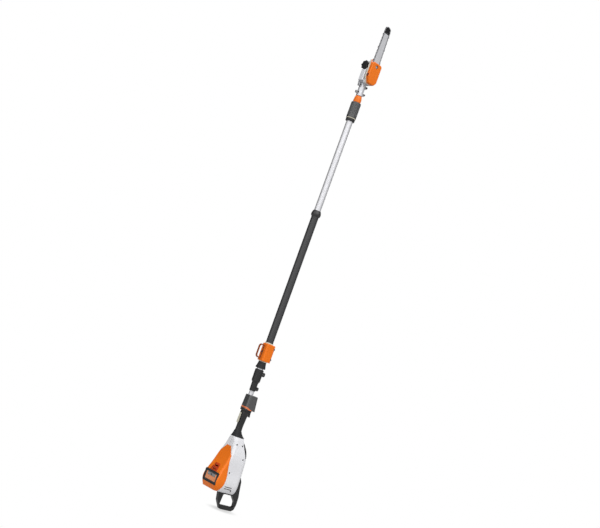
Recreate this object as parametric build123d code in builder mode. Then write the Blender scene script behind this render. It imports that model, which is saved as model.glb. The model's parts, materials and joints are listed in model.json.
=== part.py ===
"""Telescoping pole saw, battery driven, as an assembly of separate pieces.

Millimetres. The pole runs along Z with the saw at the top. The origin is on the pole axis at the
middle of the rear grip. +X is the trigger side, -Y is the side of the sprocket cover.
"""
import math
import os

from build123d import *

os.makedirs("parts", exist_ok=True)

# Stack of heights along the pole, from the middle of the grip
grip_half = 58.0
boot_h = 30.0
housing_h = 282.0
foot_h = 91.0
guard_h = 76.0
bare_low = 23.0
joint_low_h = 50.0
joint_up_h = 66.0
ring_h = 6.0
stop_h = 35.0
bracket_h = 101.0
hose_h = 705.0
collar_h = 34.0
bare_up = 513.0
clamp_base_h = 19.0
sleeve_h = 89.0
nose_h = 37.0
travel = 1200.0

# Tubes and shafts, as radii
low_tube_r = 12.7
low_tube_wall = 1.5
out_tube_r = 18.0
out_tube_wall = 1.8
in_tube_r = 13.0
in_tube_wall = 1.5
hose_wall = 1.8
shaft_r = 6.5
hex_key = 9.0
hex_play = 0.2
fit = 0.05
gap = 0.3

# Housing and battery
wall = 3.0
seam_gap = 0.4
battery_len = 116.0
battery_wide = 110.0
battery_high = 54.0
battery_play = 0.4
tray_wall = 2.0
battery_face_x = -60.5
battery_mid_drop = 226.0
foot_half = 12.0

# Saw head
bar_y = 43.0
bar_thick = 4.0
groove = 1.5
groove_deep = 4.6
chain_pitch = 9.525
drive_links = 35
sprocket_teeth = 8
nose_r = 14.0
rail_to_rivet = 3.2
nose_lift = 0.8
link_thick = 1.2
strap_thick = 1.0

# Heights that follow from the stack
grip_top = grip_half
grip_low = -grip_half
housing_top = grip_low - boot_h
housing_low = housing_top - housing_h
foot_low = housing_low - foot_h
guard_top = grip_top + guard_h
joint_low = guard_top + bare_low
joint_mid = joint_low + joint_low_h
joint_top = joint_mid + joint_up_h
stop_low = joint_top + ring_h
stop_top = stop_low + stop_h
bracket_top = stop_top + bracket_h
hose_top = bracket_top + hose_h
collar_top = hose_top + collar_h
clamp_low = collar_top + bare_up
sleeve_low = clamp_low + clamp_base_h
sleeve_top = sleeve_low + sleeve_h
nose_top = sleeve_top + nose_h
neck_low = nose_top + 3.0
neck_h = 68.0
neck_top = neck_low + neck_h
spindle_z = neck_top + 46.0
stud_z = spindle_z + 52.0
out_tube_low = joint_mid + 14.0
out_tube_top = sleeve_top - 26.0
out_tube_in = out_tube_r - out_tube_wall
in_tube_low = out_tube_top - travel - 130.0
in_tube_in = in_tube_r - in_tube_wall
low_tube_low = housing_top - 26.0
low_tube_top = joint_mid - 8.0
low_tube_in = low_tube_r - low_tube_wall
shaft_top = out_tube_top - 60.0
key_low = shaft_top - travel - 100.0
battery_z = housing_top - battery_mid_drop
motor_z = housing_top - 164.0

# Chain path, two circles joined by straight runs
spindle_r = 2.0 * chain_pitch * sprocket_teeth / (2.0 * math.pi)
tip_r = nose_r + rail_to_rivet + nose_lift
loop_len = 2.0 * chain_pitch * drive_links
reach = 0.5 * (loop_len - math.pi * (spindle_r + tip_r))
for _ in range(20):
    lean = math.asin((spindle_r - tip_r) / reach)
    arcs = spindle_r * (math.pi + 2.0 * lean) + tip_r * (math.pi - 2.0 * lean)
    reach = math.hypot(0.5 * (loop_len - arcs), spindle_r - tip_r)
tip_z = spindle_z + reach
run_len = 0.5 * (loop_len - arcs)


# Point and heading of the chain path at a distance along the loop, in the plane of the bar
def on_path(dist):
    dist = dist % loop_len
    tip_arc = tip_r * (math.pi - 2.0 * lean)
    if dist < run_len:
        turn = lean
        x = spindle_r * math.cos(turn) - dist * math.sin(turn)
        z = spindle_z + spindle_r * math.sin(turn) + dist * math.cos(turn)
        return x, z
    dist -= run_len
    if dist < tip_arc:
        turn = lean + dist / tip_r
        return tip_r * math.cos(turn), tip_z + tip_r * math.sin(turn)
    dist -= tip_arc
    if dist < run_len:
        x = -tip_r * math.cos(lean) - dist * math.sin(lean)
        z = tip_z + tip_r * math.sin(lean) - dist * math.cos(lean)
        return x, z
    dist -= run_len
    turn = math.pi - lean + dist / spindle_r
    return spindle_r * math.cos(turn), spindle_z + spindle_r * math.sin(turn)


# Motor housing sections: drop, left x, right x, half depth, left corner, right corner
housing_sections = [
    (0.0, -19.0, 45.5, 28.0, 19.0, 20.0),
    (19.0, -20.0, 52.0, 36.0, 19.0, 22.0),
    (54.0, -20.0, 76.0, 46.0, 16.0, 26.0),
    (83.0, -25.0, 84.0, 54.0, 14.0, 28.0),
    (144.0, -42.0, 88.0, 60.0, 13.0, 28.0),
    (197.0, -61.5, 88.0, 63.0, 12.0, 28.0),
    (266.0, -61.5, 86.0, 63.0, 12.0, 28.0),
    (housing_h, -56.0, 78.0, 56.0, 9.0, 24.0),
]

with BuildPart() as housing_form:
    for drop, x_lo, x_hi, half, r_lo, r_hi in housing_sections:
        with BuildSketch(Plane.XY.offset(housing_top - drop)) as ring:
            with Locations(((x_lo + x_hi) / 2.0, 0.0)):
                Rectangle(x_hi - x_lo, 2.0 * half)
            fillet(ring.vertices().group_by(Axis.X)[0], r_lo)
            fillet(ring.vertices().group_by(Axis.X)[-1], r_hi)
    loft()

with BuildPart() as housing_core:
    for drop, x_lo, x_hi, half, r_lo, r_hi in housing_sections:
        level = min(max(drop, 4.0), housing_h - wall)
        with BuildSketch(Plane.XY.offset(housing_top - level)) as ring:
            with Locations(((x_lo + x_hi) / 2.0, 0.0)):
                Rectangle(x_hi - x_lo - 2.0 * wall, 2.0 * (half - wall))
            fillet(ring.vertices().group_by(Axis.X)[0], r_lo - wall)
            fillet(ring.vertices().group_by(Axis.X)[-1], r_hi - wall)
    loft()

# Battery bay side of the parting line: a curve on the housing's flanks as x and drop, and a tongue on
# its narrow face as y and drop
seam_points = [(-23.0, 96.0), (-24.0, 141.0), (-14.0, 192.0), (-16.0, 235.0), (-29.0, 270.0), (-42.0, 284.0)]
tongue_top = 52.0
tongue_half = 17.0
tongue_foot = 107.0
flank_half = 62.0


def bay_region(grow):
    with BuildPart() as region:
        with BuildSketch(Plane.XZ):
            with BuildLine():
                Spline([(x + grow, housing_top - drop) for x, drop in seam_points])
                Polyline((-42.0 + grow, housing_top - 284.0), (-120.0, housing_top - 330.0),
                         (-120.0, housing_top - 30.0), (-8.0, housing_top - 30.0),
                         (-23.0 + grow, housing_top - 96.0))
            make_face()
        extrude(amount=90.0, both=True)
        with BuildSketch(Plane.YZ) as tongue:
            with BuildLine():
                Polyline((-90.0, housing_top - 330.0), (90.0, housing_top - 330.0),
                         (90.0, housing_top - tongue_foot + grow),
                         (flank_half + grow, housing_top - tongue_foot + grow),
                         (tongue_half + grow, housing_top - tongue_top + grow),
                         (-tongue_half - grow, housing_top - tongue_top + grow),
                         (-flank_half - grow, housing_top - tongue_foot + grow),
                         (-90.0, housing_top - tongue_foot + grow), close=True)
            make_face()
            fillet(tongue.vertices().group_by(Axis.Y)[-1], 9.0)
        extrude(amount=150.0, both=True, mode=Mode.INTERSECT)
    return region.part


bay_side = bay_region(0.0)
case_side = bay_region(seam_gap)


# Half depth of the housing at a drop below its top, between two sections
def half_at(drop):
    for low, high in zip(housing_sections, housing_sections[1:]):
        if low[0] <= drop <= high[0]:
            share = (drop - low[0]) / (high[0] - low[0])
            return low[3] + share * (high[3] - low[3])
    return housing_sections[-1][3]


screw_spots = [(-3.0, 36.0), (33.0, 36.0), (54.0, 100.0), (-4.0, 180.0), (40.0, 266.0)]
vent_top = housing_top - 24.0
vent_low = housing_top - 92.0
louvres = 7


# Air inlet region round the trigger-side edge of the housing
def vent_region(inset):
    with BuildPart() as region:
        with BuildSketch(Plane.XZ):
            with BuildLine():
                Polyline((38.0 + inset, vent_top - inset), (120.0, vent_top - inset),
                         (120.0, vent_low + inset), (69.0 + inset, vent_low + inset), close=True)
            make_face()
        extrude(amount=90.0, both=True)
    return region.part


with BuildPart() as housing_shell:
    add(housing_form.part)
    add(housing_core.part, mode=Mode.SUBTRACT)
    with Locations((0.0, 0.0, housing_top)):
        Cylinder(low_tube_r + fit, 20.0, mode=Mode.SUBTRACT)

# White motor housing, the half on the cover side
with BuildPart() as housing_right:
    add(housing_shell.part)
    add(case_side, mode=Mode.SUBTRACT)
    with Locations((0.0, 200.0 - 0.1, housing_low)):
        Box(400.0, 400.0, 900.0, mode=Mode.SUBTRACT)
    for x, drop in screw_spots:
        with Locations((x, 9.5 - half_at(drop), housing_top - drop)):
            Cylinder(5.5, 16.0, rotation=(90, 0, 0))
        with Locations((x, 1.0 - half_at(drop), housing_top - drop)):
            Cylinder(4.4, 6.0, rotation=(90, 0, 0), mode=Mode.SUBTRACT)
        with Locations((x, 9.0 - half_at(drop), housing_top - drop)):
            Cylinder(2.0, 12.0, rotation=(90, 0, 0), mode=Mode.SUBTRACT)
    add(vent_region(0.0), mode=Mode.SUBTRACT)
housing_right.part.label = "housing_right"
export_step(housing_right.part, "parts/housing_right.step")

# White motor housing, the other half
with BuildPart() as housing_left:
    add(housing_shell.part)
    add(case_side, mode=Mode.SUBTRACT)
    with Locations((0.0, -200.0 + 0.1, housing_low)):
        Box(400.0, 400.0, 900.0, mode=Mode.SUBTRACT)
    add(vent_region(0.0), mode=Mode.SUBTRACT)
housing_left.part.label = "housing_left"
export_step(housing_left.part, "parts/housing_left.step")

# Louvred air inlet round the trigger-side edge
with BuildPart() as air_grille:
    add(housing_shell.part)
    add(vent_region(seam_gap), mode=Mode.INTERSECT)
    for row in range(louvres):
        with Locations((80.0, 0.0, vent_low + 9.0 + row * (vent_top - vent_low - 18.0) / (louvres - 1.0))):
            Box(80.0, 64.0, 4.0, mode=Mode.SUBTRACT)
air_grille.part.label = "air_grille"
export_step(air_grille.part, "parts/air_grille.step")

# Screws of the motor housing
with BuildPart() as housing_screws:
    for x, drop in screw_spots:
        with Locations((x, 2.5 - half_at(drop), housing_top - drop)):
            Cylinder(4.1, 3.0, rotation=(90, 0, 0))
        with Locations((x, 9.0 - half_at(drop), housing_top - drop)):
            Cylinder(2.0, 10.0, rotation=(90, 0, 0))
        with BuildSketch(Plane.XZ.offset(half_at(drop) - 1.0)):
            with Locations((x, housing_top - drop)):
                RegularPolygon(2.0, 6)
        extrude(amount=-1.6, mode=Mode.SUBTRACT)
housing_screws.part.label = "housing_screws"
export_step(housing_screws.part, "parts/housing_screws.step")

# Orange battery bay
tray_half_y = battery_wide / 2.0 + battery_play + tray_wall
tray_half_z = battery_high / 2.0 + battery_play + tray_wall
latch_lift = 5.0
latch_half = 15.0
latch_x = battery_face_x + 15.0
latch_z = battery_z + battery_high / 2.0
bay_face = housing_sections[5][1]
button_rise = 10.0

with BuildPart() as battery_bay:
    add(housing_shell.part)
    add(bay_side, mode=Mode.INTERSECT)
    with Locations((-70.0, 0.0, battery_z)):
        Box(60.0, 2.0 * tray_half_y + 0.4, 2.0 * tray_half_z + 0.4, mode=Mode.SUBTRACT)
    with Locations((bay_face - 20.0, 0.0, battery_z)):
        Box(40.0, 2.0 * tray_half_y + 6.6, 2.0 * tray_half_z + 5.6, mode=Mode.SUBTRACT)
    with Locations((-62.0, 0.0, latch_z + 23.0)):
        Box(60.0, 2.0 * latch_half + 0.8, 18.0 + latch_lift + 1.0, mode=Mode.SUBTRACT)
battery_bay.part.label = "battery_bay"
export_step(battery_bay.part, "parts/battery_bay.step")

# Black tray and window frame that guide the battery, with the contact block at its end
tray_end = battery_face_x + 8.0 + battery_len + 1.5
with BuildPart() as battery_tray:
    with BuildSketch(Plane.YZ.offset(bay_face - 2.4)):
        with Locations((0.0, battery_z)):
            RectangleRounded(2.0 * tray_half_y + 6.0, 2.0 * tray_half_z + 5.0, 9.0)
    extrude(amount=2.4)
    with BuildSketch(Plane.YZ.offset(bay_face)):
        with Locations((0.0, battery_z)):
            RectangleRounded(2.0 * tray_half_y, 2.0 * tray_half_z, 4.0)
    extrude(amount=tray_end + 2.0 - bay_face)
    with BuildSketch(Plane.YZ.offset(bay_face - 2.4)):
        with Locations((0.0, battery_z)):
            RectangleRounded(battery_wide + 2.0 * battery_play, battery_high + 2.0 * battery_play, 6.0)
    extrude(amount=tray_end - bay_face + 2.4, mode=Mode.SUBTRACT)
    with Locations((latch_x, 0.0, latch_z + 1.5)):
        Box(12.0, 2.0 * latch_half - 4.0, 8.0, mode=Mode.SUBTRACT)
    with Locations((tray_end - 8.0, 0.0, battery_z)):
        Box(16.0, 36.0, 12.0)
    for side in (-12.0, 0.0, 12.0):
        with Locations((tray_end - 15.0, side, battery_z)):
            Box(8.0, 3.0, 8.0, mode=Mode.SUBTRACT)
battery_tray.part.label = "battery_tray"
export_step(battery_tray.part, "parts/battery_tray.step")

# Battery pack: case and end cap with a bare label field
case_low_x = battery_face_x + 8.0
with BuildPart() as battery_case:
    with BuildSketch(Plane.YZ.offset(case_low_x)):
        with Locations((0.0, battery_z)):
            RectangleRounded(battery_wide, battery_high, 6.0)
    extrude(amount=battery_len)
    with Locations((case_low_x + battery_len - 10.0, 0.0, battery_z)):
        Box(21.0, 37.0, 13.0, mode=Mode.SUBTRACT)
    with Locations((case_low_x + battery_len / 2.0, 0.0, latch_z)):
        Box(battery_len + 1.0, 2.0 * latch_half - 3.0, 9.0, mode=Mode.SUBTRACT)
battery_case.part.label = "battery_case"
export_step(battery_case.part, "parts/battery_case.step")

with BuildPart() as battery_cap:
    with BuildSketch(Plane.YZ.offset(battery_face_x - 2.5)):
        with Locations((0.0, battery_z)):
            RectangleRounded(battery_wide, battery_high, 6.0)
    extrude(amount=case_low_x - battery_face_x + 2.5)
    fillet(battery_cap.faces().sort_by(Axis.X)[0].edges(), 2.0)
    with BuildSketch(Plane.YZ.offset(battery_face_x - 2.5)):
        with Locations((0.0, battery_z)):
            RectangleRounded(battery_wide - 20.0, battery_high - 16.0, 5.0)
    extrude(amount=1.5, mode=Mode.SUBTRACT)
    with Locations((battery_face_x, 0.0, battery_z + button_rise)):
        Cylinder(4.2, 9.0, rotation=(0, 90, 0), mode=Mode.SUBTRACT)
battery_cap.part.label = "battery_cap"
export_step(battery_cap.part, "parts/battery_cap.step")

# Charge test button in the battery panel
with BuildPart() as charge_button:
    with Locations((battery_face_x - 0.6, 0.0, battery_z + button_rise)):
        Cylinder(3.9, 4.2, rotation=(0, 90, 0))
    fillet(charge_button.faces().sort_by(Axis.X)[0].edges(), 0.8)
charge_button.part.label = "charge_button"
export_step(charge_button.part, "parts/charge_button.step")

# Battery latch, a sliding thumb piece above the window
with BuildPart() as battery_latch:
    with Locations((latch_x, 0.0, latch_z + 13.0)):
        Box(8.0, 2.0 * latch_half - 6.0, 31.0)
    with Locations((latch_x - 7.0, 0.0, latch_z + 20.5)):
        Box(12.0, 2.0 * latch_half, 12.0)
    fillet(battery_latch.faces().sort_by(Axis.X)[0].edges(), 2.5)
battery_latch.part.label = "battery_latch"
export_step(battery_latch.part, "parts/battery_latch.step")

# Ground foot, a loop under the housing with an arm up its side
foot_outline = [(13.0, housing_low), (14.0, foot_low + 86.0), (25.0, foot_low + 40.0), (54.0, foot_low),
                (128.0, foot_low), (143.0, foot_low + 10.0), (149.0, foot_low + 38.0),
                (147.0, foot_low + 78.0), (140.0, foot_low + 107.0), (130.0, foot_low + 158.0),
                (115.0, foot_low + 182.0), (88.0, foot_low + 182.0), (88.0, housing_low + 18.0),
                (79.0, housing_low)]
foot_hole = [(47.0, housing_low - 13.0), (43.0, foot_low + 21.0), (137.0, foot_low + 21.0),
             (133.0, foot_low + 48.0), (106.0, housing_low - 13.0)]
with BuildPart() as ground_foot:
    with BuildSketch(Plane.XZ) as outline:
        with BuildLine():
            Polyline(*foot_outline, close=True)
        make_face()
        fillet(outline.vertices().sort_by(Axis.Y)[0:2], 12.0)
        fillet(outline.vertices().sort_by_distance((143.0, foot_low + 10.0))[0], 9.0)
        fillet(outline.vertices().sort_by_distance((115.0, foot_low + 182.0))[0], 14.0)
    extrude(amount=foot_half, both=True)
    with BuildSketch(Plane.XZ) as hole:
        with BuildLine():
            Polyline(*foot_hole, close=True)
        make_face()
        fillet(hole.vertices(), 8.0)
    extrude(amount=foot_half + 5.0, both=True, mode=Mode.SUBTRACT)
    fillet(ground_foot.faces().group_by(Axis.Y)[0].edges(), 3.0)
    fillet(ground_foot.faces().group_by(Axis.Y)[-1].edges(), 3.0)
    add(housing_form.part, mode=Mode.SUBTRACT)
ground_foot.part.label = "ground_foot"
export_step(ground_foot.part, "parts/ground_foot.step")

# Motor: bracket on the tray, bearings, stator, and rotor bell with fan blades
tray_roof = battery_z + tray_half_z
plate_z = motor_z - 26.0
with BuildPart() as motor_bracket:
    with Locations((0.0, 0.0, plate_z + 2.0)):
        Cylinder(31.0, 4.0)
    with Locations((0.0, 0.0, motor_z - 5.0)):
        Cylinder(12.0, 34.0)
    for side in (-1.0, 1.0):
        with Locations((0.0, side * 24.0, (tray_roof + plate_z) / 2.0)):
            Box(24.0, 8.0, plate_z - tray_roof)
    with Locations((0.0, 0.0, motor_z - 5.0)):
        Cylinder(shaft_r + 0.6, 60.0, mode=Mode.SUBTRACT)
    with Locations((0.0, 0.0, plate_z + 3.0), (0.0, 0.0, motor_z + 9.0)):
        Cylinder(10.0, 6.0, mode=Mode.SUBTRACT)
motor_bracket.part.label = "motor_bracket"
export_step(motor_bracket.part, "parts/motor_bracket.step")

with BuildPart() as motor_bearings:
    with Locations((0.0, 0.0, plate_z + 3.0), (0.0, 0.0, motor_z + 9.0)):
        Cylinder(10.0, 6.0)
        Cylinder(shaft_r + fit, 6.0, mode=Mode.SUBTRACT)
motor_bearings.part.label = "motor_bearings"
export_step(motor_bearings.part, "parts/motor_bearings.step")

with BuildPart() as motor_stator:
    with BuildSketch(Plane.XY.offset(motor_z - 12.0)):
        Circle(26.0)
        Circle(12.0, mode=Mode.SUBTRACT)
        with PolarLocations(20.0, 9):
            Rectangle(8.0, 6.0, mode=Mode.SUBTRACT)
        with PolarLocations(25.0, 9):
            Rectangle(6.0, 1.6, mode=Mode.SUBTRACT)
    extrude(amount=24.0)
motor_stator.part.label = "motor_stator"
export_step(motor_stator.part, "parts/motor_stator.step")

with BuildPart() as motor_rotor:
    with Locations((0.0, 0.0, motor_z + 2.0)):
        Cylinder(33.0, 40.0)
    with Locations((0.0, 0.0, motor_z)):
        Cylinder(26.8, 36.0, mode=Mode.SUBTRACT)
    with Locations((0.0, 0.0, motor_z + 26.0)):
        Cylinder(11.0, 10.0)
    with Locations((0.0, 0.0, motor_z + 20.0)):
        Cylinder(shaft_r, 40.0, mode=Mode.SUBTRACT)
    with PolarLocations(19.0, 6):
        with Locations((0.0, 0.0, motor_z + 20.0)):
            Cylinder(4.5, 8.0, mode=Mode.SUBTRACT)
    with PolarLocations(20.0, 9, rotate=True):
        with Locations((0.0, 0.0, motor_z + 26.0)):
            Box(18.5, 1.6, 9.0)
motor_rotor.part.label = "motor_rotor"
export_step(motor_rotor.part, "parts/motor_rotor.step")

# Motor controller on posts over the tray
board_z = tray_roof + 6.0
with BuildPart() as controller_board:
    with Locations((50.0, 0.0, board_z + 0.8)):
        Box(30.0, 92.0, 1.6)
    for x in (39.0, 61.0):
        for side in (-40.0, 40.0):
            with Locations((x, side, (tray_roof + board_z) / 2.0)):
                Cylinder(2.5, board_z - tray_roof)
    for side in (-30.0, -14.0):
        with Locations((50.0, side, board_z + 12.0)):
            Cylinder(6.0, 21.0)
    with Locations((52.0, 18.0, board_z + 8.0)):
        Box(18.0, 40.0, 13.0)
    for row in range(5):
        with Locations((52.0, 2.0 + row * 8.0, board_z + 12.0)):
            Box(18.0, 4.0, 8.0, mode=Mode.SUBTRACT)
controller_board.part.label = "controller_board"
export_step(controller_board.part, "parts/controller_board.step")

# Black boot between the housing and the grip
with BuildPart() as boot:
    with BuildSketch(Plane.XY.offset(housing_top)) as ring:
        with Locations((12.5, 0.0)):
            Rectangle(62.0, 54.0)
        fillet(ring.vertices(), 19.0)
    with BuildSketch(Plane.XY.offset(housing_top + 9.0)) as ring:
        with Locations((8.5, 0.0)):
            Rectangle(54.0, 46.0)
        fillet(ring.vertices(), 18.0)
    with BuildSketch(Plane.XY.offset(grip_low)) as ring:
        with Locations((2.5, 0.0)):
            Rectangle(37.0, 34.0)
        fillet(ring.vertices(), 15.5)
    loft()
    with Locations((0.0, 0.0, housing_top + 10.0)):
        Cylinder(low_tube_r + fit, 90.0, mode=Mode.SUBTRACT)
boot.part.label = "boot"
export_step(boot.part, "parts/boot.step")

# Rear grip, two shells around the tube
grip_lo_x = -15.5
grip_hi_x = 20.5
grip_half_y = 16.5
with BuildPart() as grip_form:
    for z, grow in ((grip_low, 0.0), (grip_low + 34.0, -0.8), (8.0, 0.6), (grip_top, 0.0)):
        with BuildSketch(Plane.XY.offset(z)) as ring:
            with Locations(((grip_lo_x + grip_hi_x) / 2.0, 0.0)):
                Rectangle(grip_hi_x - grip_lo_x + 2.0 * grow, 2.0 * grip_half_y + 2.0 * grow)
            fillet(ring.vertices(), 14.5)
    loft()
    with Locations((0.0, 0.0, 0.0)):
        Cylinder(low_tube_r + fit, 3.0 * grip_half, mode=Mode.SUBTRACT)
    for row in range(8):
        with Locations((grip_hi_x + 2.4, 0.0, -48.0 + row * 8.0)):
            Box(8.0, 60.0, 2.0, mode=Mode.SUBTRACT)

with BuildPart() as grip_right:
    add(grip_form.part)
    with Locations((0.0, 50.0 - 0.1, 0.0)):
        Box(100.0, 100.0, 200.0, mode=Mode.SUBTRACT)
grip_right.part.label = "grip_right"
export_step(grip_right.part, "parts/grip_right.step")

with BuildPart() as grip_left:
    add(grip_form.part)
    with Locations((0.0, -50.0 + 0.1, 0.0)):
        Box(100.0, 100.0, 200.0, mode=Mode.SUBTRACT)
grip_left.part.label = "grip_left"
export_step(grip_left.part, "parts/grip_left.step")

# Guard block above the grip, with the orange band along its lower edge
band_h = 8.0
trigger_x = 28.0
trigger_z = grip_top + 24.0
lock_x = -15.4
lock_z = grip_top + 6.0
lock_pin_r = 1.2
with BuildPart() as guard_form:
    with BuildSketch(Plane.XY.offset(grip_top)) as ring:
        with Locations((14.0, 0.0)):
            Rectangle(66.0, 56.0)
        fillet(ring.vertices(), 13.0)
    with BuildSketch(Plane.XY.offset(guard_top)) as ring:
        with Locations((11.0, 0.0)):
            Rectangle(54.0, 52.0)
        fillet(ring.vertices(), 13.0)
    loft()
    with Locations((0.0, 0.0, grip_top)):
        Cylinder(low_tube_r + fit, 300.0, mode=Mode.SUBTRACT)
    with Locations((trigger_x + 4.0, 0.0, grip_top + 16.0)):
        Box(30.0, 13.4, 54.0, mode=Mode.SUBTRACT)
    with Locations((trigger_x + 4.0, 0.0, grip_top + 52.0)):
        Box(18.0, 24.0, 20.0, mode=Mode.SUBTRACT)
    with Locations((lock_x - 0.2, 0.0, grip_top + 3.0)):
        Box(5.2, 15.4, 18.0, mode=Mode.SUBTRACT)
    with Locations((lock_x - 4.0, 0.0, grip_top)):
        Box(8.0, 15.4, 9.0, mode=Mode.SUBTRACT)
    with Locations((trigger_x, 0.0, trigger_z)):
        Cylinder(2.0, 44.0, rotation=(90, 0, 0), mode=Mode.SUBTRACT)
    with Locations((lock_x, 0.0, lock_z)):
        Cylinder(lock_pin_r, 30.0, rotation=(90, 0, 0), mode=Mode.SUBTRACT)

with BuildPart() as guard:
    add(guard_form.part)
    with Locations((0.0, 0.0, grip_top + band_h / 2.0 - 20.0)):
        Box(200.0, 200.0, band_h + 40.0, mode=Mode.SUBTRACT)
    fillet(guard.faces().sort_by(Axis.Z)[-1].outer_wire().edges(), 3.0)
guard.part.label = "guard"
export_step(guard.part, "parts/guard.step")

with BuildPart() as guard_band:
    add(guard_form.part)
    with Locations((0.0, 0.0, grip_top + band_h + 100.0)):
        Box(200.0, 200.0, 200.0, mode=Mode.SUBTRACT)
guard_band.part.label = "guard_band"
export_step(guard_band.part, "parts/guard_band.step")

# Trigger, its pin and the switch that it works
with BuildPart() as trigger:
    with BuildSketch(Plane.XZ) as outline:
        with BuildLine():
            Polyline((trigger_x - 7.0, trigger_z + 8.0), (trigger_x + 7.0, trigger_z + 9.0),
                     (trigger_x + 12.0, trigger_z - 6.0), (trigger_x + 9.0, grip_top - 12.0),
                     (trigger_x + 10.0, grip_top - 24.0), (trigger_x + 13.0, grip_top - 34.0),
                     (trigger_x + 6.0, grip_top - 36.0), (trigger_x + 3.0, grip_top - 22.0),
                     (trigger_x + 2.0, grip_top - 8.0), (trigger_x - 7.0, trigger_z - 8.0), close=True)
        make_face()
        fillet(outline.vertices(), 2.4)
        with Locations((trigger_x, trigger_z)):
            Circle(2.05, mode=Mode.SUBTRACT)
    extrude(amount=6.0, both=True)
trigger.part.label = "trigger"
export_step(trigger.part, "parts/trigger.step")

with BuildPart() as control_pins:
    with Locations((trigger_x, 0.0, trigger_z)):
        Cylinder(2.0, 40.0, rotation=(90, 0, 0))
    with Locations((lock_x, 0.0, lock_z)):
        Cylinder(lock_pin_r, 28.0, rotation=(90, 0, 0))
control_pins.part.label = "control_pins"
export_step(control_pins.part, "parts/control_pins.step")

with BuildPart() as trigger_switch:
    with Locations((trigger_x + 4.0, 0.0, grip_top + 55.0)):
        Box(18.0, 24.0, 14.0)
    with Locations((trigger_x + 8.0, 0.0, grip_top + 46.5)):
        Cylinder(1.8, 5.0)
trigger_switch.part.label = "trigger_switch"
export_step(trigger_switch.part, "parts/trigger_switch.step")

# Lockout lever along the back of the grip
with BuildPart() as lock_lever:
    with BuildSketch(Plane.XZ) as outline:
        with BuildLine():
            Polyline((lock_x - 2.2, lock_z + 3.4), (lock_x + 2.2, lock_z + 3.4), (lock_x + 2.2, lock_z - 3.0),
                     (lock_x - 1.4, grip_top - 1.0), (-18.8, 30.0), (-20.2, 0.0), (-20.4, -14.0),
                     (-23.4, -19.0), (-22.8, 0.0), (-21.4, 30.0), (-19.4, grip_top - 1.0),
                     (-18.9, lock_z - 4.0), (lock_x - 2.2, lock_z - 2.0), close=True)
        make_face()
        fillet(outline.vertices(), 0.7)
        with Locations((lock_x, lock_z)):
            Circle(lock_pin_r + fit, mode=Mode.SUBTRACT)
    extrude(amount=7.0, both=True)
lock_lever.part.label = "lock_lever"
export_step(lock_lever.part, "parts/lock_lever.step")

# Lower tube with its shaft bushes
with BuildPart() as lower_tube:
    with Locations((0.0, 0.0, (low_tube_low + low_tube_top) / 2.0)):
        Cylinder(low_tube_r, low_tube_top - low_tube_low)
        Cylinder(low_tube_in, low_tube_top - low_tube_low, mode=Mode.SUBTRACT)
lower_tube.part.label = "lower_tube"
export_step(lower_tube.part, "parts/lower_tube.step")

with BuildPart() as shaft_bushes:
    with Locations((0.0, 0.0, low_tube_low + 14.0), (0.0, 0.0, low_tube_top - 14.0)):
        Cylinder(low_tube_in, 24.0)
    with Locations((0.0, 0.0, out_tube_low + 14.0)):
        Cylinder(out_tube_in, 24.0)
    with Locations((0.0, 0.0, (low_tube_low + out_tube_low) / 2.0)):
        Cylinder(shaft_r + fit, 600.0, mode=Mode.SUBTRACT)
shaft_bushes.part.label = "shaft_bushes"
export_step(shaft_bushes.part, "parts/shaft_bushes.step")

# Joint sleeve that clamps the lower tube to the outer tube
ear_low_z = joint_low + 15.0
ear_up_z = joint_mid + 45.0
with BuildPart() as joint_sleeve:
    with BuildSketch(Plane.XZ):
        with BuildLine():
            Polyline((0.0, joint_low), (16.0, joint_low), (17.0, joint_mid - 6.0), (22.5, joint_mid + 4.0),
                     (23.0, joint_top - 3.0), (21.0, joint_top), (0.0, joint_top), close=True)
        make_face()
    revolve(axis=Axis.Z)
    with Locations((24.0, 0.0, ear_up_z)):
        Box(26.0, 22.0, 22.0)
    with Locations((19.0, 0.0, ear_low_z)):
        Box(20.0, 20.0, 20.0)
    fillet(joint_sleeve.edges().filter_by(Axis.Y).group_by(Axis.X)[-1], 8.0)
    fillet(joint_sleeve.edges().filter_by(Axis.Y).filter_by(lambda e: 28.0 < e.center().X < 30.0), 7.0)
    with Locations((0.0, 0.0, (joint_low + low_tube_top) / 2.0 - 20.0)):
        Cylinder(low_tube_r + fit, low_tube_top - joint_low + 40.0, mode=Mode.SUBTRACT)
    with Locations((0.0, 0.0, (out_tube_low + joint_top) / 2.0 + 20.0)):
        Cylinder(out_tube_r + fit, joint_top - out_tube_low + 40.0, mode=Mode.SUBTRACT)
    with Locations((0.0, 0.0, joint_mid)):
        Cylinder(9.0, 80.0, mode=Mode.SUBTRACT)
    with Locations((30.0, 0.0, ear_up_z)):
        Box(40.0, 2.0, 44.0, mode=Mode.SUBTRACT)
    with Locations((26.0, 0.0, ear_low_z)):
        Box(36.0, 2.0, 34.0, mode=Mode.SUBTRACT)
    for x, z in ((29.5, ear_up_z), (22.0, ear_low_z)):
        with Locations((x, 0.0, z)):
            Cylinder(2.5, 60.0, rotation=(90, 0, 0), mode=Mode.SUBTRACT)
        with Locations((x, -21.0, z)):
            Cylinder(4.8, 30.0, rotation=(90, 0, 0), mode=Mode.SUBTRACT)
joint_sleeve.part.label = "joint_sleeve"
export_step(joint_sleeve.part, "parts/joint_sleeve.step")

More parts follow.
